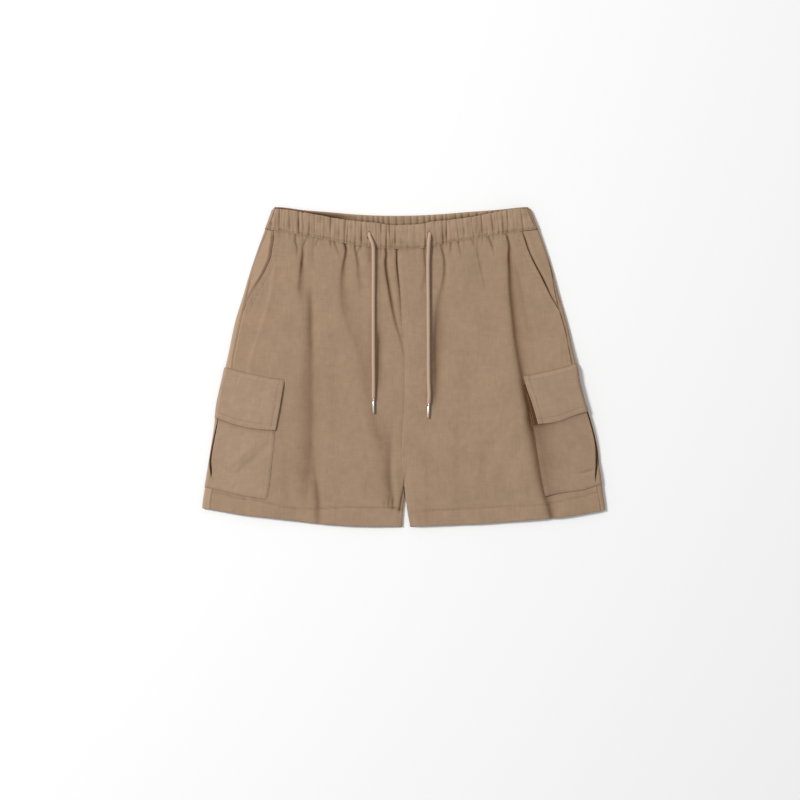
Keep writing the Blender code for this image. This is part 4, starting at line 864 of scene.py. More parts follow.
def wrapped(side, cloth, edge, row_height, over, under, grow=0.0, sink=0.0, radius=ROLL):
    """Points of a layer that wraps a side fold.

    cloth is the distance from the fold's crown along the cloth, over the top
    when positive and under the garment when negative.  over and under give
    the layer's height there, grow how far it lies outside the panel's fold,
    and sink how far it is pressed inwards.
    """
    sign = SIDES[side]
    centre = roll_centre(side, edge) + ROLL - radius
    upper = cloth > 0
    across = sign * (centre + np.minimum(ROLL_CLOTH - np.abs(cloth), 0))
    height = np.where(upper, row_height(across, True), row_height(across, False))
    top, low = over(across, height), under(across, height)
    angle = np.clip(cloth / ROLL_CLOTH, -1, 1) * math.pi / 2
    middle = (top + low) / 2
    rolled = across + sign * (radius + grow - sink) * np.cos(angle)
    flat, bent = np.where(upper, top, low), middle + (top - middle) * np.sin(angle)
    level = np.where(np.abs(cloth) > ROLL_CLOTH, flat, bent)
    return stack(rolled, height, level - sink * np.sin(angle))


def tucked(layer, side, cloth, steps, at, fold, row_fold):
    """A layer's points with its edges turned under, and the cloth's length there.

    steps and at are the marks and indices across and down the layer.
    """
    out, drop = steps[0].folded(at[0], fold)
    run, fall = steps[1].folded(at[1], row_fold)
    points = layer(side, cloth - out, steps[1].share[at[1]], np.maximum(drop, fall))
    points[..., 1] -= run
    return points, cloth - out


def through(stops, part):
    """Value that goes from each stop to the next while part goes up by 1."""
    value = stops[0]
    for number, (here, there) in enumerate(zip(stops, stops[1:])):
        value = value + (there - here) * np.clip(part - number, 0, 1)
    return value


def sewn(*offs):
    """1 on each line of stitches, from the distances to them."""
    return sum(bump(off, 0.9) for off in offs)


# ------------------------------------------------------------------- panels
def body_row(across, share, over=True):
    """Rows of the body run from just under the waist seam to the hem."""
    start = waist_seam(across) if over else back_seam(across)
    return mix(start - SEAM - EDGE_FOLD, hem(across) + HEM_FOLD, share)


def slit(side, cloth, edge):
    """1 in the open slit of a side pleat, 0 away from it."""
    off = (cloth - SLIT_CLOTH[side](edge)) / np.maximum(SLIT_WIDTH[side](edge), 0.2)
    open_here = ease((FLAPS[side].bottom(REACH[side](edge)) + 6 - edge) / 6.0)
    return np.exp(-(off ** 4)) * open_here * ease((edge - SLIT_END[side]) / 10.0)


def strip_top(side, across, height):
    """Outer height of the back's strip beside the side fold."""
    off = np.abs(across) - seam_outward(side, height)
    loft = body_top(side, across, height) + 0.08 * pucker(height, off, 7.0, 4.0)
    return loft + 0.2 * bump(off - 2.6, 1.6) - 0.5 * ease((0.9 - off) / 1.5)


def dress_front(side, material):
    sign = SIDES[side]
    columns, rows = Marks(0.0, (1.0, 184)), Marks(0.0, (0.085, 34), (0.3, 56), (1.0, 118))
    height = settle(side, body_row, rows.share)
    seam = seam_outward(side, height) - SEAM
    for _ in range(6):
        start = sign * np.minimum(seam, MOUTH_EDGE[side](height))
        height = body_row(start, rows.share)
    middle = body_row(0.0, rows.share)
    parted = ease((CROTCH - 32 - middle) / 16)
    end = INNER[side](middle) + sign * (SEAM / 2 - LAP * (1 - parted))
    last_fold = mix(0.4, 1.35, parted)

    def place(column, row):
        first, last = start[row] - sign * EDGE_FOLD, end[row] + sign * last_fold[row]
        across = mix(first, last, columns.share[column])
        height = body_row(across, rows.share[row])
        radius = np.where(columns.turn[column] < 0, EDGE_FOLD, last_fold[row])
        out, drop = columns.folded(column, radius)
        run, fall = rows.folded(row, HEM_FOLD)
        level = front_top(side, across, height) - np.maximum(drop, fall)
        points = stack(across - sign * out, height - run, level)
        return points, stack(across, height), front_gloom(side, across, height)

    return shell(f"front_panel_{side}", place, columns.count, rows.count,
                 side == "right", material, f"front_{side}")


def back_points(side, cloth, share, sink=0.0):
    """Points of the back panel from the side seam round to underneath."""
    edge = settle(side, body_row, share)
    opened = slit(side, cloth, edge) * ease(cloth / ROLL_CLOTH)

    def under(across, height):
        lift = 0.5 * above(middle_relief(across * 0.6 + 90, height * 0.35))
        away = ease((np.abs(across) - 8) / 20) * ease((-ROLL_CLOTH - cloth) / 20)
        return underside(side, np.abs(across), height) + lift * away

    return wrapped(
        side, cloth, edge, lambda across, top: body_row(across, share, top),
        lambda across, height: strip_top(side, across, height), under,
        sink=sink + above(SLIT_DEPTH * opened - 1.0),
    )


def dress_back(side, material):
    steps = (Marks(0.0, (1.0, 26), (2.0, 42), first=False),
             Marks(0.0, (0.1, 20), (1.0, 140)))
    columns, rows = steps
    edges = settle(side, body_row, rows.share)

    def place(column, row):
        edge = edges[row]
        middle = body_row(0.0, rows.share[row], over=False)
        full = roll_centre(side, edge) - SIDES[side] * INNER[side](middle) - SEAM / 2
        seam = SEAM_CLOTH[side](edge)
        stops = (seam + EDGE_FOLD, -ROLL_CLOTH + 0 * edge, EDGE_FOLD - ROLL_CLOTH - full)
        cloth = through(stops, columns.share[column])
        points, along = tucked(
            back_points, side, cloth, steps, (column, row), EDGE_FOLD, HEM_FOLD)
        # painted shade in the side seam, painted light on the strip beside it, and painted
        # dark in the slit
        in_seam = mix(0.15, 1.0, ease((edge + 10) / 20)) * bump(cloth - seam + 0.1, 0.9)
        gloom = SEAM_GLOOM[side] * in_seam * (0.8 + 0.4 * small_relief(edge, edge))
        strip = ease((cloth + 1) / 2) * ease((seam - 1.4 - cloth) / 1.2)
        gloom -= STRIP_LIGHT[side] * strip * ease((150 - edge) / 50)
        gloom += 3.2 * slit(side, cloth, edge)
        return points, stack(along + 300, points[..., 1]), gloom

    return shell(f"back_panel_{side}", place, columns.count, rows.count,
                 side == "left", material, f"back_{side}")


def dress_facing(side, material):
    columns, share = np.linspace(0, 2, 27), np.linspace(0, 0.29, 71)
    edges = settle(side, body_row, share)
    mouth = roll_centre(side, edges) + ROLL_CLOTH - MOUTH_EDGE[side](edges)
    seam = SEAM_CLOTH[side](edges) + 1.5 * SEAM
    shown = np.maximum(mouth - FACING_SHOW, seam + 0.8)
    stops = np.array([seam, shown, shown + FACING_SHOW + FACING_UNDERLAP])

    def place(column, row):
        edge = edges[row]
        cloth = through(stops[:, row], columns[column])
        clear = mouth[row] - cloth
        drop = FACING_DROP * (1 - ease((clear - FACING_SHOW) / FACING_RISE))
        drop += 0.6 * bump(above(clear - 1), 2.0)
        below = above(waist_seam(SIDES[side] * MOUTH_EDGE[side](edge)) - edge)
        shade = np.interp(edge, *zip(*MOUTH_SHADE[side]))
        drop *= mix(0.3, 1.0, ease(below / 9)) * np.minimum(0.3 + shade / 2, 1)
        # painted shade along the mouth's edge, and painted light on the facing away from it
        gloom = shade * bump(above(clear - 0.6), 0.7 + 0.25 * shade)
        gloom *= ease((edge - MOUTH_END + 6) / 20)
        gloom -= FACING_LIGHT[side] * ease((clear - 2.5) / 3)
        points = wrapped(
            side, cloth, edge, lambda across, top: body_row(across, share[row]),
            lambda across, height: body_top(side, across, height) - drop,
            lambda across, height: underside(side, np.abs(across), height),
        )
        return points, stack(cloth + 600, points[..., 1]), gloom

    return shell(f"pocket_facing_{side}", place, len(columns), len(share),
                 side == "right", material, f"hip_facing_{side}")


# ------------------------------------------------------------ cargo pockets
def pocket_points(side, cloth, share, sink=0.0):
    pocket = POCKETS[side]
    edge = settle(side, pocket.row, share)
    in_slit = SLIT_DEPTH * slit(side, cloth, edge) * ease(cloth / ROLL_CLOTH)
    inset = pocket.start(edge) - cloth
    bottom = (1 - share) * POCKET_HEIGHT

    def over(across, height):
        level = body_top(side, across, height) + STEP_UP
        level -= fold_depth(POCKET_SHARP[side], across, height)
        level += 0.6 * ease(inset / 30) * ease(bottom / 25) * ease((cloth - 4) / 25)
        level -= 0.22 * sewn(inset - HEM_SEWN, inset - TOP_SEWN, bottom - HEM_SEWN)
        level -= 0.75 * bump(inset, 2.4) + 0.6 * bump(bottom, 2.4)
        level += 0.06 * fine_relief(across + 40, height)
        return level + 0.05 * pucker(height, inset - 4, 6.5, 4.0)

    def under(across, height):
        return PILE * FLAPS[side].cover(
            np.abs(across), height, FLAP_EDGE_MARGIN, FLAP_EDGE_FALL)

    return wrapped(
        side, cloth, edge, lambda across, top: pocket.row(across, share), over, under,
        patch_width(side, edge) - flap_width(side, edge), sink + in_slit,
    )


def dress_pocket(side, material):
    pocket = POCKETS[side]
    steps = (Marks(0.0, (1.0, 62), (2.0, 18), (3.0, 12), (4.0, 26), last=False),
             Marks(0.0, (1.0, 112), first=False))
    columns, rows = steps
    edges = settle(side, pocket.row, rows.share)

    def place(column, row):
        edge = edges[row]
        slot, flat = SLIT_CLOTH[side](edge), np.ones_like(edge)
        start = pocket.start(edge) - POCKET_FOLD
        stops = (start, slot + 3.2, slot - 3.2, (-ROLL_CLOTH - 1.5) * flat,
                 -POCKET_BACK * flat)
        cloth = through(stops, columns.share[column])
        points, along = tucked(
            pocket_points, side, cloth, steps, (column, row), POCKET_FOLD, POCKET_FOLD)
        # painted dark in the slit, painted shadow under the flap, and painted shade along the
        # bottom edge's fold
        below = above(FLAPS[side].bottom(np.abs(points[..., 0])) - points[..., 1])
        gloom = 3.6 * slit(side, cloth, edge) + 1.3 * np.exp(-below / 2.6)
        gloom += 0.8 * (rows.turn[row] > 0) + 0.5 * (rows.share[row] == 1)
        # on the left pocket, painted shade near its front edge and under its flap
        if side == "left":
            near_front = np.exp(-((above(start - cloth) / 18) ** 1.5))
            gloom += (1.0 + 0.6 * np.exp(-below / 30)) * near_front
            gloom += 0.25 * np.exp(-below / 40)
        return points, stack(along + 900, points[..., 1]), gloom

    return shell(f"cargo_pocket_cloth_{side}", place, columns.count, rows.count,
                 side == "left", material, f"cargo_pocket_{side}")


def flap_points(side, cloth, share, sink=0.0):
    flap = FLAPS[side]
    edge = settle(side, flap.row, share)
    inset = flap.start(edge) - cloth
    lift = STEP_UP * (1 + ease(share / 0.1))
    down = share * FLAP_HEIGHT
    up = FLAP_HEIGHT - down

    def over(across, height):
        level = body_top(side, across, height) + lift
        level += 0.5 * ease(down / 20) * ease(up / 14) * ease(inset / 14)
        level -= 0.22 * sewn(inset - TOP_SEWN, up - HEM_SEWN, up - TOP_SEWN, down - TOP_SEWN)
        level -= 0.7 * bump(down, 2.0) + 0.7 * bump(inset, 2.2) * bump(down, 14)
        level += 0.06 * fine_relief(across - 60, height)
        level += 0.05 * pucker(height, inset - 4, 6.0, 4.0)
        return level + 0.06 * pucker(across, down - 4, 8.0, 4.0) * ease((cloth - 3) / 10)

    return wrapped(
        side, cloth, edge, lambda across, top: flap.row(across, share), over,
        lambda across, height: 0.0 * across, patch_width(side, edge), sink,
    )


def dress_flap(side, material):
    flap = FLAPS[side]
    steps = Marks(0.0, (1.0, 58), (2.0, 16), (3.0, 24), last=False), Marks(0.0, (1.0, 52))
    columns, rows = steps
    edges = settle(side, flap.row, rows.share)

    def place(column, row):
        start = flap.start(edges[row]) - FLAP_FOLD
        crown = (ROLL_CLOTH + 0.6) * np.ones_like(start)
        stops = start, crown, -crown, -FLAP_BACK * np.ones_like(start)
        cloth = through(stops, columns.share[column])
        points, along = tucked(
            flap_points, side, cloth, steps, (column, row), FLAP_FOLD, FLAP_FOLD)
        # painted shade along the flap's folded top edge and its rows of stitches
        gloom = 1.0 * (rows.turn[row] < 0) + 0.6 * (row == rows.turn.searchsorted(0))
        down, inset = rows.share[row] * FLAP_HEIGHT, start + FLAP_FOLD - cloth
        up = FLAP_HEIGHT - down
        gloom = gloom + 0.3 * sewn(inset - TOP_SEWN, up - TOP_SEWN, down - TOP_SEWN)
        return points, stack(along + 1200, points[..., 1]), gloom

    return shell(f"cargo_flap_cloth_{side}", place, columns.count, rows.count,
                 side == "left", material, f"cargo_flap_{side}")


# ---------------------------------------------------------------- waistband
LIP = 1.5               # radius of the band's folded top edge
LIP_STEPS = 6
FACE_STEPS = 30


def band_loop(inner_steps):
    """Share down the band and turn of its lips, once round its section."""
    face = [(share, 0.0) for share in np.linspace(1, 0, FACE_STEPS + 1)]
    top = [(0.0, turn) for turn in np.linspace(0, 1, LIP_STEPS + 1)[1:]]
    inner = [(share, 1.0) for share in np.linspace(0, 1, inner_steps + 1)[1:]]
    bottom = [(1.0, 1 + turn) for turn in np.linspace(0, 1, LIP_STEPS + 1)[1:]]
    return (np.array(part) for part in zip(*(face + top + inner + bottom)))


def around(outer, inner, turn):
    """Points on the loop that joins a band's two faces over its lips."""
    half = (outer - inner) / 2
    points = (outer + inner) / 2 + half * np.cos(turn * math.pi)[..., None]
    points[..., 1] += LIP * np.sin(turn * math.pi)
    return points


def ribs(across, share, coarse, fine):
    """Random relief of the band's cloth."""
    down = share * BAND_RIBS
    return coarse * rib_relief(across, down) + fine * band_relief(across, down)


def gather_valleys(across, share):
    """Depth of the front band's gathers."""
    depth = np.zeros_like(across)
    for number, (top, bottom, strength) in enumerate(BAND_GATHERS):
        off = np.abs(across - mix(top, bottom, share))
        fade = 0.8 + 0.3 * np.sin(number * 2.4 + share * 4.0)
        valley = 1.2 * np.exp(-((off / 0.8) ** 1.5)) + 0.3 * bump(off, 2.2)
        depth += 1.1 * strength ** 1.9 * fade * valley
    return depth


def band_face(across, share):
    """Outer height of the front band."""
    edge = 0.8 * (bump(share, 0.09) + bump(1 - share, 0.07))
    level = BAND_OVER + BAND_PUFF - gather_valleys(across, share)
    fold = bump(np.abs(across) - mix(166.5, 170.5, share), 1.5)
    return np.maximum(level, BAND_OVER - 2.0) + ribs(across, share, 0.3, 0.2) - edge - fold


def band_row(top, low, share):
    """Height of a band's row between its top edge and its seam."""
    return mix(top - LIP, low + LIP - BAND_LAP, share)


def band_ends(share, place):
    """Across of a band's two ends, from the height at which it rounds each."""
    ends = {}
    for side, sign in SIDES.items():
        reach = sign * BAND_REACH
        edge = mix(band_top_front(reach), waist_seam(reach), share)
        ends[side] = sign * place(side, edge)
    return ends["right"], ends["left"]


def buttonhole_depth(across, height):
    """Depth of the slots that let the drawstring out of the band."""
    depth = np.zeros_like(across)
    for rows in DRAWSTRING.values():
        off = np.abs(across - rows[1][0]) / 1.9
        along = above(np.abs(height - rows[1][1]) - SLOT_HALF) / 1.9
        depth += np.exp(-((off ** 2 + along ** 2) ** 2))
    return 2.8 * depth


def dress_band_front(material):
    share, turn = band_loop(8)
    count = 520
    first, last = band_ends(share, lambda side, edge: REACH[side](edge) - BAND_ROLL - 0.3)

    def place(column, row):
        across = mix(first[row], last[row], column / (count - 1))
        part, bent = share[row], turn[row]
        valleys = gather_valleys(across, part)
        rough = 0.3 + 0.3 * rib_relief(across * 0.8 + 9, 0 * across)
        top = band_top_front(across) - (0.42 * valleys + rough * (1 - part))
        height = band_row(top, waist_seam(across), part)
        outer = band_face(across, part) - buttonhole_depth(across, height) * (bent == 0)
        inner = np.full_like(outer, BAND_UNDER)
        points = around(stack(across, height, outer), stack(across, height, inner), bent)
        # painted shade in the gathers, the rib valleys and the band's lower part, painted
        # light on the rib ridges
        gloom = 0.68 * valleys - ribs(across, part, 0.5, 0.25) - 0.15
        gloom += 0.45 * bump(1 - part, 0.06) + 0.3 * ease((part - 0.4) / 0.4)
        length = np.where(bent > 0.5, 60 - height, height)
        return points, stack(across + 1500, length), gloom * (bent < 0.5)

    return sleeve("waistband_cloth_front", place, count, len(share), False,
                  material, "waistband_front")


def band_side(side, cloth, part, wall, corner):
    """Points of the back band's wall where it rounds a side fold."""
    sign = SIDES[side]
    reach = sign * BAND_REACH
    edge = mix(band_top_front(reach), waist_seam(reach), part)
    puff = 0.35 * rib_relief(cloth * 1.3 + 40 * sign, part * BAND_RIBS) * (1 - wall)
    thick = wall * BAND_BACK

    def row_height(across, top):
        line = band_top_front if top else band_top_back
        return band_row(line(across), waist_seam(across), part)

    return wrapped(
        side, cloth, edge, row_height,
        lambda across, height: BAND_OVER + BAND_SIDE_PUFF - thick + puff,
        lambda across, height: thick + 0 * across, puff - thick - corner, 0.0, BAND_ROLL,
    )


def band_middle(across, part, wall):
    """Points of the back band's wall between its side folds."""
    top = band_top_back(across) - LIP
    height = band_row(band_top_back(across), back_seam(across), part)
    if not wall:
        return stack(across, height, 0 * across)
    near = np.min(np.abs(across[..., None] - np.array(BACK_GATHERS)), axis=-1)
    valley = np.exp(-((near / 1.0) ** 1.4)) + 0.5 * bump(near, 2.6)
    level = BAND_BACK + 1.1 - 1.1 * valley + ribs(across + 77, part, 0.25, 0.0)
    level -= 1.5 * ease((top - height) / 7.0)
    # towards the right the band stands up and shows its inside, in shade that is partly
    # painted on
    steep = ease((across + 170) / 5) * ease((-50 - across) / 26)
    level = mix(level, mix(4.8, 1.4, ease((top - height) / 3.0)), steep)
    return stack(across, height, level)


def dress_band_back(material):
    share, turn = band_loop(16)
    side_steps, middle_steps = 22, 430
    count = 2 * side_steps + middle_steps + 1

    def place(column, row):
        part, bent = share[row], turn[row]
        lip = np.where(bent < 1, np.sin(bent * math.pi), 0)
        corner = 1.6 * ease((0.13 - part) / 0.13) + 1.2 * lip
        first, last = band_ends(
            part, lambda side, edge: roll_centre(side, edge) + ROLL - BAND_ROLL)
        across = mix(first, last, np.clip((column - side_steps) / middle_steps, 0, 1))
        walls = []
        for wall in (0, 1):
            points = band_middle(across, part, wall)
            for side, step in (("right", column), ("left", count - 1 - column)):
                cloth = mix(ROLL_CLOTH, -ROLL_CLOTH, np.minimum(step / side_steps, 1))
                rounded = band_side(side, cloth, part, wall, corner)
                points = np.where((step < side_steps)[..., None], rounded, points)
            walls.append(points)
        height = walls[0][..., 1]
        lengths = stack(column * 0.8 + 2000, np.where(bent > 0.5, 60 - height, height))
        points = around(*walls, bent)
        # painted shade on the back band's inside, deepest towards the right and just above the
        # front band's top edge
        inside = band_top_front(points[..., 0]) + 3.4 - points[..., 1]
        gloom = 0.05 + 1.1 * ease((-70 - points[..., 0]) / 14) + 1.4 * ease(inside / 3.4)
        return points, lengths, gloom * ease((bent - 0.2) / 0.3)

    return sleeve("waistband_cloth_back", place, count, len(share), True,
                  material, "waistband_back")


# -------------------------------------------------------------- drawstrings
CORD_RINGS = 560        # rings of mesh along a drawstring
CORD_SIDES = 32
BRAID_RELIEF = 0.16     # height of the plaited yarns
BRAID_PITCH = 8.0       # length of one turn of a yarn


def run_length(points):
    steps = np.linalg.norm(np.diff(points, axis=0), axis=1)
    return np.concatenate([[0.0], np.cumsum(steps)])


def at_distance(points, distances):
    """Points of a smooth line at the given distances along it."""
    lengths = run_length(points)
    return stack(*(Line(list(zip(lengths, values)))(distances) for values in points.T))


def along_line(points, distances):
    """The same, with the line's directions there."""
    spots = at_distance(points, distances)
    tangent = at_distance(points, distances + 0.05) - spots
    return spots, tangent / np.linalg.norm(tangent, axis=-1, keepdims=True)


def route_points(side):
    """Points along a drawstring's smooth line, closer where it bends most."""
    rows = np.array(DRAWSTRING[side], float)
    share = (np.arange(CORD_POINTS) / (CORD_POINTS - 1)) ** CORD_CROWDING
    return at_distance(rows, share * run_length(rows)[-1])


def dress_drawstring(side, material):
    """Plaited cord on the drawstring's line, with fine yarns standing out."""
    route = route_points(side)
    line = np.vstack([route[0] + (0.0, 0.9, -2.6), route])
    total = run_length(line)[-1]
    radius = CORD / 2 - BRAID_RELIEF * 0.5

    def place(column, row):
        distance = row / (CORD_RINGS - 1) * total
        spots, tangent = along_line(line, distance)
        angle = column / (CORD_SIDES - 1) * TURN
        across = np.cross(tangent, np.array([0.0, 0.0, 1.0]))
        across /= np.linalg.norm(across, axis=-1, keepdims=True)
        upward = np.cross(across, tangent)
        twist = distance / BRAID_PITCH * TURN
        yarns = np.maximum(*(np.abs(np.sin(4 * angle + way * twist)) for way in (1, -1)))
        shape = radius + BRAID_RELIEF * (yarns - 0.5) + 0.05 * fine_relief(angle * 3, distance)
        shape = (shape * (1 - 0.12 * bump(total - distance, 2.5)))[..., None]
        round_it = across * np.cos(angle)[..., None] + upward * np.sin(angle)[..., None]
        return spots + shape * round_it, stack(angle * radius, distance), 0.0

    cord = sleeve(f"drawstring_cord_{side}", place, CORD_SIDES, CORD_RINGS, True,
                  material, f"drawstring_{side}")
    return cord, line


def dress_tip(side, material):
    """Metal tube crimped on the drawstring's end, rounded at its mouth."""
    name = f"cord_tip_{side}"
    route = route_points(side)
    along = Vector(route[-1] - route[-2]).normalized()
    profile = [         # share of the tube's radius, and distance down it
        (0.72, 0.0), (0.96, 0.05), (1.04, 0.3), (1.0, 0.8), (0.97, 2.2), (0.88, 2.7),
        (0.88, 3.1), (0.97, 3.6), (0.97, 13.0), (0.9, 14.6), (0.86, 16.2),
        (0.78, TIP_LENGTH - 0.35), (0.5, TIP_LENGTH - 0.05), (0.0, TIP_LENGTH),
    ]
    shape = bmesh.new()
    turned = [shape.verts.new((TIP / 2 * reach, 0.0, down)) for reach, down in profile]
    turned.insert(0, shape.verts.new((0.0, 0.0, 0.35)))
    edges = [shape.edges.new(pair) for pair in zip(turned, turned[1:])]
    bmesh.ops.spin(shape, geom=turned + edges, cent=(0, 0, 0), axis=(0, 0, 1), steps=32,
                   angle=TURN, use_merge=True)
    bmesh.ops.remove_doubles(shape, verts=shape.verts[:], dist=0.01)
    bmesh.ops.recalc_face_normals(shape, faces=shape.faces[:])
    turn = along.to_track_quat("Z", "Y").to_matrix().to_4x4()
    start = Matrix.Translation(Vector(route[-1]) + along * SEAM)
    bmesh.ops.transform(shape, matrix=Matrix.Scale(MM, 4) @ start @ turn,
                        verts=shape.verts[:])
    mesh = to_mesh(name, shape)
    tip = finish_piece(name, mesh, material, f"drawstring_tip_{side}")
    mesh.set_sharp_from_angle(angle=math.radians(55))
    return tip


# ------------------------------------------------------------------- sewing
THREAD = 0.21           # radius of a stitch
STITCH = 2.3            # length of a stitch
STITCH_GAP = 0.55


class Sewing:
    """Rows of stitches gathered into one piece."""

    def __init__(self):
        self.shape = bmesh.new()

    def stitch(self, start, end, radius=THREAD):
        start, end = Vector(start), Vector(end)
        turn = (end - start).to_track_quat("Z", "Y").to_matrix().to_4x4()
        size = Matrix.Diagonal((radius, radius, (end - start).length / 2, 1))
        place = Matrix.Translation((start + end) / 2) @ turn @ size
        bmesh.ops.create_uvsphere(self.shape, u_segments=6, v_segments=4, radius=1,
                                  matrix=Matrix.Scale(MM, 4) @ place)

    def row(self, points):
        """Running stitches along a line of surface points."""
        lengths = run_length(points)
        starts = np.arange(0.4, lengths[-1] - STITCH, STITCH + STITCH_GAP)
        ends = (stack(*(np.interp(at, lengths, values) for values in points.T))
                for at in (starts, starts + STITCH))
        for start, end in zip(*ends):
            self.stitch(start, end)

    def tack(self, points, width):
        """Dense bar of short stitches across a line of surface points."""
        spots, tangent = along_line(points, np.arange(0, run_length(points)[-1], 0.5))
        for number, (spot, way) in enumerate(zip(spots, tangent)):
            reach = np.cross(way, [0.0, 0.0, 1.0]) * width / 2
            slant = way * 0.3 * (-1) ** number
            self.stitch(spot - reach - slant, spot + reach + slant, THREAD * 0.9)

    def piece(self, name, material, slot):
        return finish_piece(name, to_mesh(name, self.shape), material, None)


def front_line(side, across, height):
    """Surface points of a front panel for a sewn line."""
    return stack(across, height, front_top(side, across, height) + 0.1)


def sew_front(side, material):
    """Rows along the pocket mouth, the centre seam and the hem, with tacks."""
    sign, sewing = SIDES[side], Sewing()
    for inset, low in ((1.7, 82.0), (7.2, 76.0)):
        height = np.linspace(174.5, low, 90)
        sewing.row(front_line(side, sign * (MOUTH_EDGE[side](height) - inset), height))
    if side == "left":
        height = np.linspace(150.0, -128.0, 200)
        sewing.row(front_line(side, INNER[side](height) + 2.2, height))
    seam = seam_outward(side, -175.0) - 1.0
    across = np.linspace(INNER[side](-182.0) + sign * 1.5, sign * seam, 160)
    sewing.row(front_line(side, across, hem_line(across)))
    for low, high in ((80.0, 88.0), (168.0, 175.0)):
        height = np.linspace(high, low, 12)
        edge = MOUTH_EDGE[side](height) - np.linspace(2.0, 6.0, 12)
        sewing.tack(front_line(side, sign * edge, height), 1.7)
    return sewing.piece(f"stitching_front_{side}", material, "khaki_cotton")


def sew_back(side, material):
    """Row beside the side seam, and the hem's row round the side fold."""
    sewing, low = Sewing(), -160.0
    share = np.linspace(0.01, 0.985, 240)
    edge = settle(side, body_row, share)
    sewing.row(back_points(side, SEAM_CLOTH[side](edge) - 2.0, share, -0.1))
    cloth = np.linspace(SEAM_CLOTH[side](low) - 1.0, -60.0, 120)
    reach = np.minimum(ROLL, ROLL_CLOTH - np.abs(cloth))
    across = SIDES[side] * (roll_centre(side, low) + reach)
    start = np.where(cloth > 0, waist_seam(across), back_seam(across)) - SEAM - EDGE_FOLD
    share = (start - hem_line(across)) / (start - hem(across) - HEM_FOLD)
    sewing.row(back_points(side, cloth, share, -0.08 * (cloth > 0)))
    return sewing.piece(f"stitching_back_{side}", material, "khaki_cotton")


def sew_patches(side, material):
    """Rows along the edges of a pocket and its flap, and the flap's tacks."""
    sewing = Sewing()
    pocket, flap = (POCKETS[side], pocket_points), (FLAPS[side], flap_points)

    def line(patch, share, inset, end=None, lift=0.1):
        """Points at an inset from the front edge, or from there to an end."""
        edge = settle(side, patch[0].row, share)
        cloth = patch[0].start(edge) - inset
        if end:
            cloth = mix(cloth, end(edge), np.linspace(0, 1, len(share)))
        return patch[1](side, cloth, share, -lift)

    def pocket_end(edge):
        return SLIT_CLOTH[side](edge) + 1.0

    for inset in (HEM_SEWN, TOP_SEWN):
        sewing.row(line(pocket, np.linspace(0.09, 0.985, 90), inset))
    low = np.full(90, 1 - HEM_SEWN / POCKET_HEIGHT)
    sewing.row(line(pocket, low, HEM_SEWN, pocket_end))
    for inset in (HEM_SEWN, TOP_SEWN):
        sewing.row(line(flap, np.linspace(0.02, 0.98, 60), inset))
    for down in (TOP_SEWN, FLAP_HEIGHT - TOP_SEWN, FLAP_HEIGHT - HEM_SEWN):
        sewing.row(line(flap, np.full(90, down / FLAP_HEIGHT), HEM_SEWN, lambda edge: -4.0))
    for inset in (2.0, 5.5):
        share = np.linspace(0.0, 6.0 / FLAP_HEIGHT, 10)
        sewing.tack(line(flap, share, inset, lift=0.15), 1.4)
    return sewing.piece(f"stitching_patches_{side}", material, "patch_cotton")


def sew_buttonhole(side, material):
    """Satin stitches round the slot that lets a drawstring out."""
    sewing = Sewing()
    middle_across, middle_height, _ = DRAWSTRING[side][1]
    for angle in np.linspace(0, TURN, 56, endpoint=False):
        ends, rise = [], math.sin(angle)
        for reach, sunk in ((1.6, 0.5), (2.9, 0.0)):
            across = middle_across + reach * math.cos(angle)
            height = middle_height + reach * rise
            height += math.copysign(SLOT_HALF, rise) * ease(abs(rise) * 3)
            top, low = band_top_front(across), waist_seam(across)
            share = np.array([(top - height) / (top - low)])
            level = band_face(np.array([across]), share)[0] + 0.05
            ends.append((across, height, level - sunk))
        sewing.stitch(*ends, 0.2)
    return sewing.piece(f"buttonhole_stitching_{side}", material, "band_cotton")


# ---------------------------------------------------------------- materials
class Value:
    """Output of a shader node; sums on it add Math nodes."""

    def __init__(self, finish, socket):
        self.finish, self.socket = finish, socket

    def apply(self, operation, *others):
        values = dict(enumerate((self, *others)))
        return self.finish.add("ShaderNodeMath", {"operation": operation}, values)

    def __rsub__(self, other):
        return self.finish.constant(other).apply("SUBTRACT", self)


def add_method(name, operation):
    setattr(Value, name, lambda value, *others: value.apply(operation, *others))


for method, name_of_node in {
    "__add__": "ADD", "__radd__": "ADD", "__sub__": "SUBTRACT", "__mul__": "MULTIPLY",
    "__rmul__": "MULTIPLY", "__truediv__": "DIVIDE", "__gt__": "GREATER_THAN",
    "sin": "SINE", "floor": "FLOOR", "fract": "FRACT", "size": "ABSOLUTE",
    "most": "MAXIMUM", "least": "MINIMUM",
}.items():
    add_method(method, name_of_node)


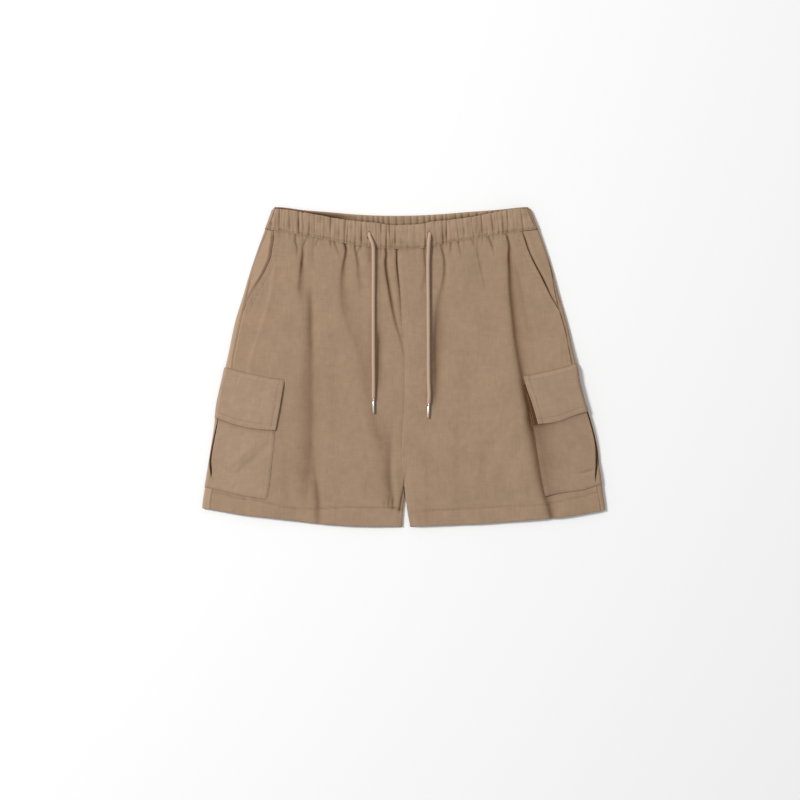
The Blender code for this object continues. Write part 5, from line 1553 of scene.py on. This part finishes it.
class Finish:
    """A material on one Principled shader, built from plain expressions."""

    def __init__(self, name, **constants):
        self.material = bpy.data.materials.new(name)
        self.material.use_nodes = True
        self.tree = self.material.node_tree
        self.surface = self.tree.nodes["Principled BSDF"]
        for socket, value in constants.items():
            self.surface.inputs[socket.replace("_", " ")].default_value = value

    def add(self, kind, settings=None, inputs=None, output=0):
        node = self.tree.nodes.new(kind)
        for key, value in (settings or {}).items():
            setattr(node, key, value)
        for key, value in (inputs or {}).items():
            self.put(node.inputs[key], value)
        return Value(self, node.outputs[output])

    def put(self, socket, value):
        if isinstance(value, Value):
            self.tree.links.new(value.socket, socket)
        else:
            socket.default_value = value

    def paint(self, colour):
        self.put(self.surface.inputs["Base Color"], colour)

    def constant(self, number):
        return self.add("ShaderNodeMath", {"operation": "ADD"}, {0: number, 1: 0.0})

    def blend(self, first, second, share):
        """Mix of two colours."""
        return self.add(
            "ShaderNodeMix", {"data_type": "RGBA"}, {0: share, 6: first, 7: second}, 2)

    def point(self, across, along):
        return self.add("ShaderNodeCombineXYZ", {}, {0: across, 1: along})

    def local(self):
        """Point in the piece's own frame."""
        return self.add("ShaderNodeTexCoord", {}, {}, 3)

    def lengths(self):
        """The two lengths along the cloth, as values."""
        spot = self.add("ShaderNodeUVMap", {"uv_map": "cloth"})
        return (self.add("ShaderNodeSeparateXYZ", {}, {0: spot}, axis) for axis in (0, 1))

    def hollow(self):
        return self.add("ShaderNodeAttribute", {"attribute_name": "hollow"}, {}, 2)

    def noise(self, vector, scale, detail=2.0, roughness=0.5):
        return self.add("ShaderNodeTexNoise", {}, {
            "Vector": vector, "Scale": scale, "Detail": detail, "Roughness": roughness})

    def relief(self, height, distance, strength=1.0):
        bumps = self.add("ShaderNodeBump", {}, {
            "Height": height, "Distance": distance, "Strength": strength})
        self.put(self.surface.inputs["Normal"], bumps)


def shaded(colour, factor):
    return (*(min(part * factor, 1.0) for part in colour), 1.0)


def cloth_finish(name, colour):
    """Washed cotton twill: fine diagonal weave, uneven yarns and soft fuzz."""
    cloth = Finish(name, Roughness=0.88, Sheen_Weight=0.16, Sheen_Roughness=0.5,
                   Specular_IOR_Level=0.22, Sheen_Tint=shaded(colour, 1.9))
    across, along = cloth.lengths()
    warp_number, weft_number = (across / TWILL).floor(), (along / TWILL).floor()
    warp = (across * (math.pi / TWILL)).sin().size()
    weft = (along * (math.pi / TWILL)).sin().size()
    weft_over = ((warp_number + weft_number) / 3).fract() > 0.5
    weave = warp * (1 - weft_over) + weft * weft_over * 0.8
    warp_yarn = cloth.noise(cloth.point(across * (0.9 / TWILL), along * 0.035), 1.0)
    weft_yarn = cloth.noise(cloth.point(across * 0.035 + 9, along * (0.9 / TWILL)), 1.0)
    blotch = cloth.noise(cloth.point(across, along), 0.028, 3.0)
    cloud = cloth.noise(cloth.point(across, along), 0.13, 3.0)
    fuzz = cloth.noise(cloth.point(across, along), 0.9, 3.0, 0.7)
    hollow = cloth.hollow()
    tone = (0.5 + (warp_yarn - 0.5) * 0.75 + (weft_yarn - 0.5) * 0.55
            + (blotch - 0.5) * 0.7 + (cloud - 0.5) * 0.6 + (fuzz - 0.5) * 0.7
            + (weave - 0.55) * 0.3)
    base = cloth.blend(shaded(colour, 0.82), shaded(colour, 1.18), tone)
    # painted shade in the cloth's folds and recesses, and near-black painted in deep slits
    shade = shaded([part * share for part, share in zip(colour, SHADED)], 1)
    deep = cloth.blend(base, shade, (hollow.most(0.0) * PAINTED_SHADE_STRENGTH).least(1.0))
    in_slit = ((hollow - 2.5) * 0.4).most(0.0).least(1.0)
    dark = cloth.blend(deep, shaded(colour, DARKEST), in_slit)
    # painted light where the painted shade falls below zero
    cloth.paint(cloth.blend(dark, shaded(colour, 1.3), (0 - hollow).most(0.0) * 0.25))
    cloth.put(cloth.surface.inputs["Roughness"], 0.82 + fuzz * 0.12)
    cloth.relief(weave * 0.55 + warp_yarn * 0.5 + weft_yarn * 0.4 + fuzz * 0.5, 0.00013, 0.8)
    return cloth.material


def cord_finish():
    """Plaited cotton cord, a little paler than the cloth."""
    cord = Finish("plaited_cord", Roughness=0.8, Sheen_Weight=0.2, Sheen_Roughness=0.5,
                  Specular_IOR_Level=0.3)
    around_cord, along = cord.lengths()
    yarns = ((around_cord * 3.4 + along * 2.9).sin().size()
             + (around_cord * 3.4 - along * 2.9).sin().size()) * 0.5
    fuzz = cord.noise(cord.point(around_cord, along), 2.4, 3.0, 0.7)
    hollow = cord.hollow()
    base = cord.blend(shaded(CORD_COLOUR, 0.78), shaded(CORD_COLOUR, 1.2),
                      0.25 + yarns * 0.35 + fuzz * 0.3)
    # painted shade in the cord's recesses
    in_hollow = hollow.most(0.0).least(1.0) * 0.3
    cord.paint(cord.blend(base, shaded(CORD_COLOUR, DARKEST), in_hollow))
    cord.relief(yarns * 0.6 + fuzz * 0.5, 0.00012, 0.8)
    return cord.material


def thread_finish():
    thread = Finish("sewing_thread", Roughness=0.62, Sheen_Weight=0.1)
    twist = thread.noise(thread.local(), 900.0)
    thread.paint(thread.blend(
        shaded(THREAD_COLOUR, 0.85), shaded(THREAD_COLOUR, 1.15), twist))
    thread.relief(twist, 0.00006)
    return thread.material


def steel_finish():
    """Bright nickelled tube with fine marks and a slightly uneven polish."""
    steel = Finish("nickelled_steel", Metallic=1.0)
    spot = steel.local()
    marks = steel.noise(spot, 1400.0, 3.0, 0.6)
    cloud = steel.noise(spot, 160.0)
    steel.paint(steel.blend((0.62, 0.61, 0.60, 1), (0.80, 0.79, 0.78, 1), marks))
    steel.put(steel.surface.inputs["Roughness"], 0.16 + marks * 0.14 + cloud * 0.12)
    steel.relief(marks, 0.00002)
    return steel.material


# ------------------------------------------------------------ stage and view
def set_camera():
    lens = bpy.data.cameras.new("overhead_lens")
    lens.sensor_width = 36.0
    lens.lens = lens.sensor_width * (VIEW_HEIGHT - 5.0) / VIEW_WIDTH
    lens.clip_end = 50.0
    camera = add_object("overhead_camera", lens)
    camera.location = Vector((*VIEW_CENTRE, VIEW_HEIGHT)) * MM
    bpy.context.scene.camera = camera


def set_stage():
    shape = bmesh.new()
    bmesh.ops.create_grid(shape, x_segments=1, y_segments=1, size=4.0)
    floor = add_object("floor", to_mesh("floor", shape))
    floor.location.z = -0.15 * MM
    paper = Finish("pale_floor", Roughness=0.9, Specular_IOR_Level=0.1)
    paper.paint((0.86, 0.86, 0.86, 1))
    floor.data.materials.append(paper.material)


def set_light():
    scene = bpy.context.scene
    scene.world = bpy.data.worlds.new("studio")
    scene.world.use_nodes = True
    sky = scene.world.node_tree.nodes["Background"].inputs
    sky["Color"].default_value, sky["Strength"].default_value = (1, 1, 1, 1), 0.5
    lamp = bpy.data.lights.new("key", "AREA")
    lamp.shape, lamp.size, lamp.energy = "DISK", 1.3, 225.0
    light = add_object("key", lamp)
    light.location = (-3.0, 1.5, 3.9)
    light.rotation_euler = (-light.location).to_track_quat("-Z", "Y").to_euler()
    scene.view_settings.view_transform = "Standard"


# --------------------------------------------------------------------- main
def main():
    set_camera()
    set_light()
    set_stage()
    cloth = cloth_finish("khaki_twill", CLOTH_COLOUR)
    # the right side's patches get a lighter painted copy of the twill, the left side's a
    # darker one
    patches = {side: cloth_finish(f"patch_twill_lit_by_side_{side}", PATCH_COLOURS_LIT_BY_SIDE[side])
               for side in SIDES}
    band = cloth_finish("band_twill", BAND_COLOUR)
    thread, cord_cotton, steel = thread_finish(), cord_finish(), steel_finish()

    for side in SIDES:
        cord, line = dress_drawstring(side, cord_cotton)
        tip = dress_tip(side, steel)
        tuple(line[0] * MM)
        float(run_length(line)[-1]) * MM
        [tuple(point * MM) for point in line]

    for piece in (dress_band_front(band), dress_band_back(band)):
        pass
    for side in SIDES:
        front = dress_front(side, cloth)
        back = dress_back(side, cloth)
        facing = dress_facing(side, cloth)
        pocket = dress_pocket(side, patches[side])
        flap = dress_flap(side, patches[side])
        front_sewing = sew_front(side, thread)
        back_sewing = sew_back(side, thread)
        patch_sewing = sew_patches(side, thread)
        sew_buttonhole(side, thread)


main()
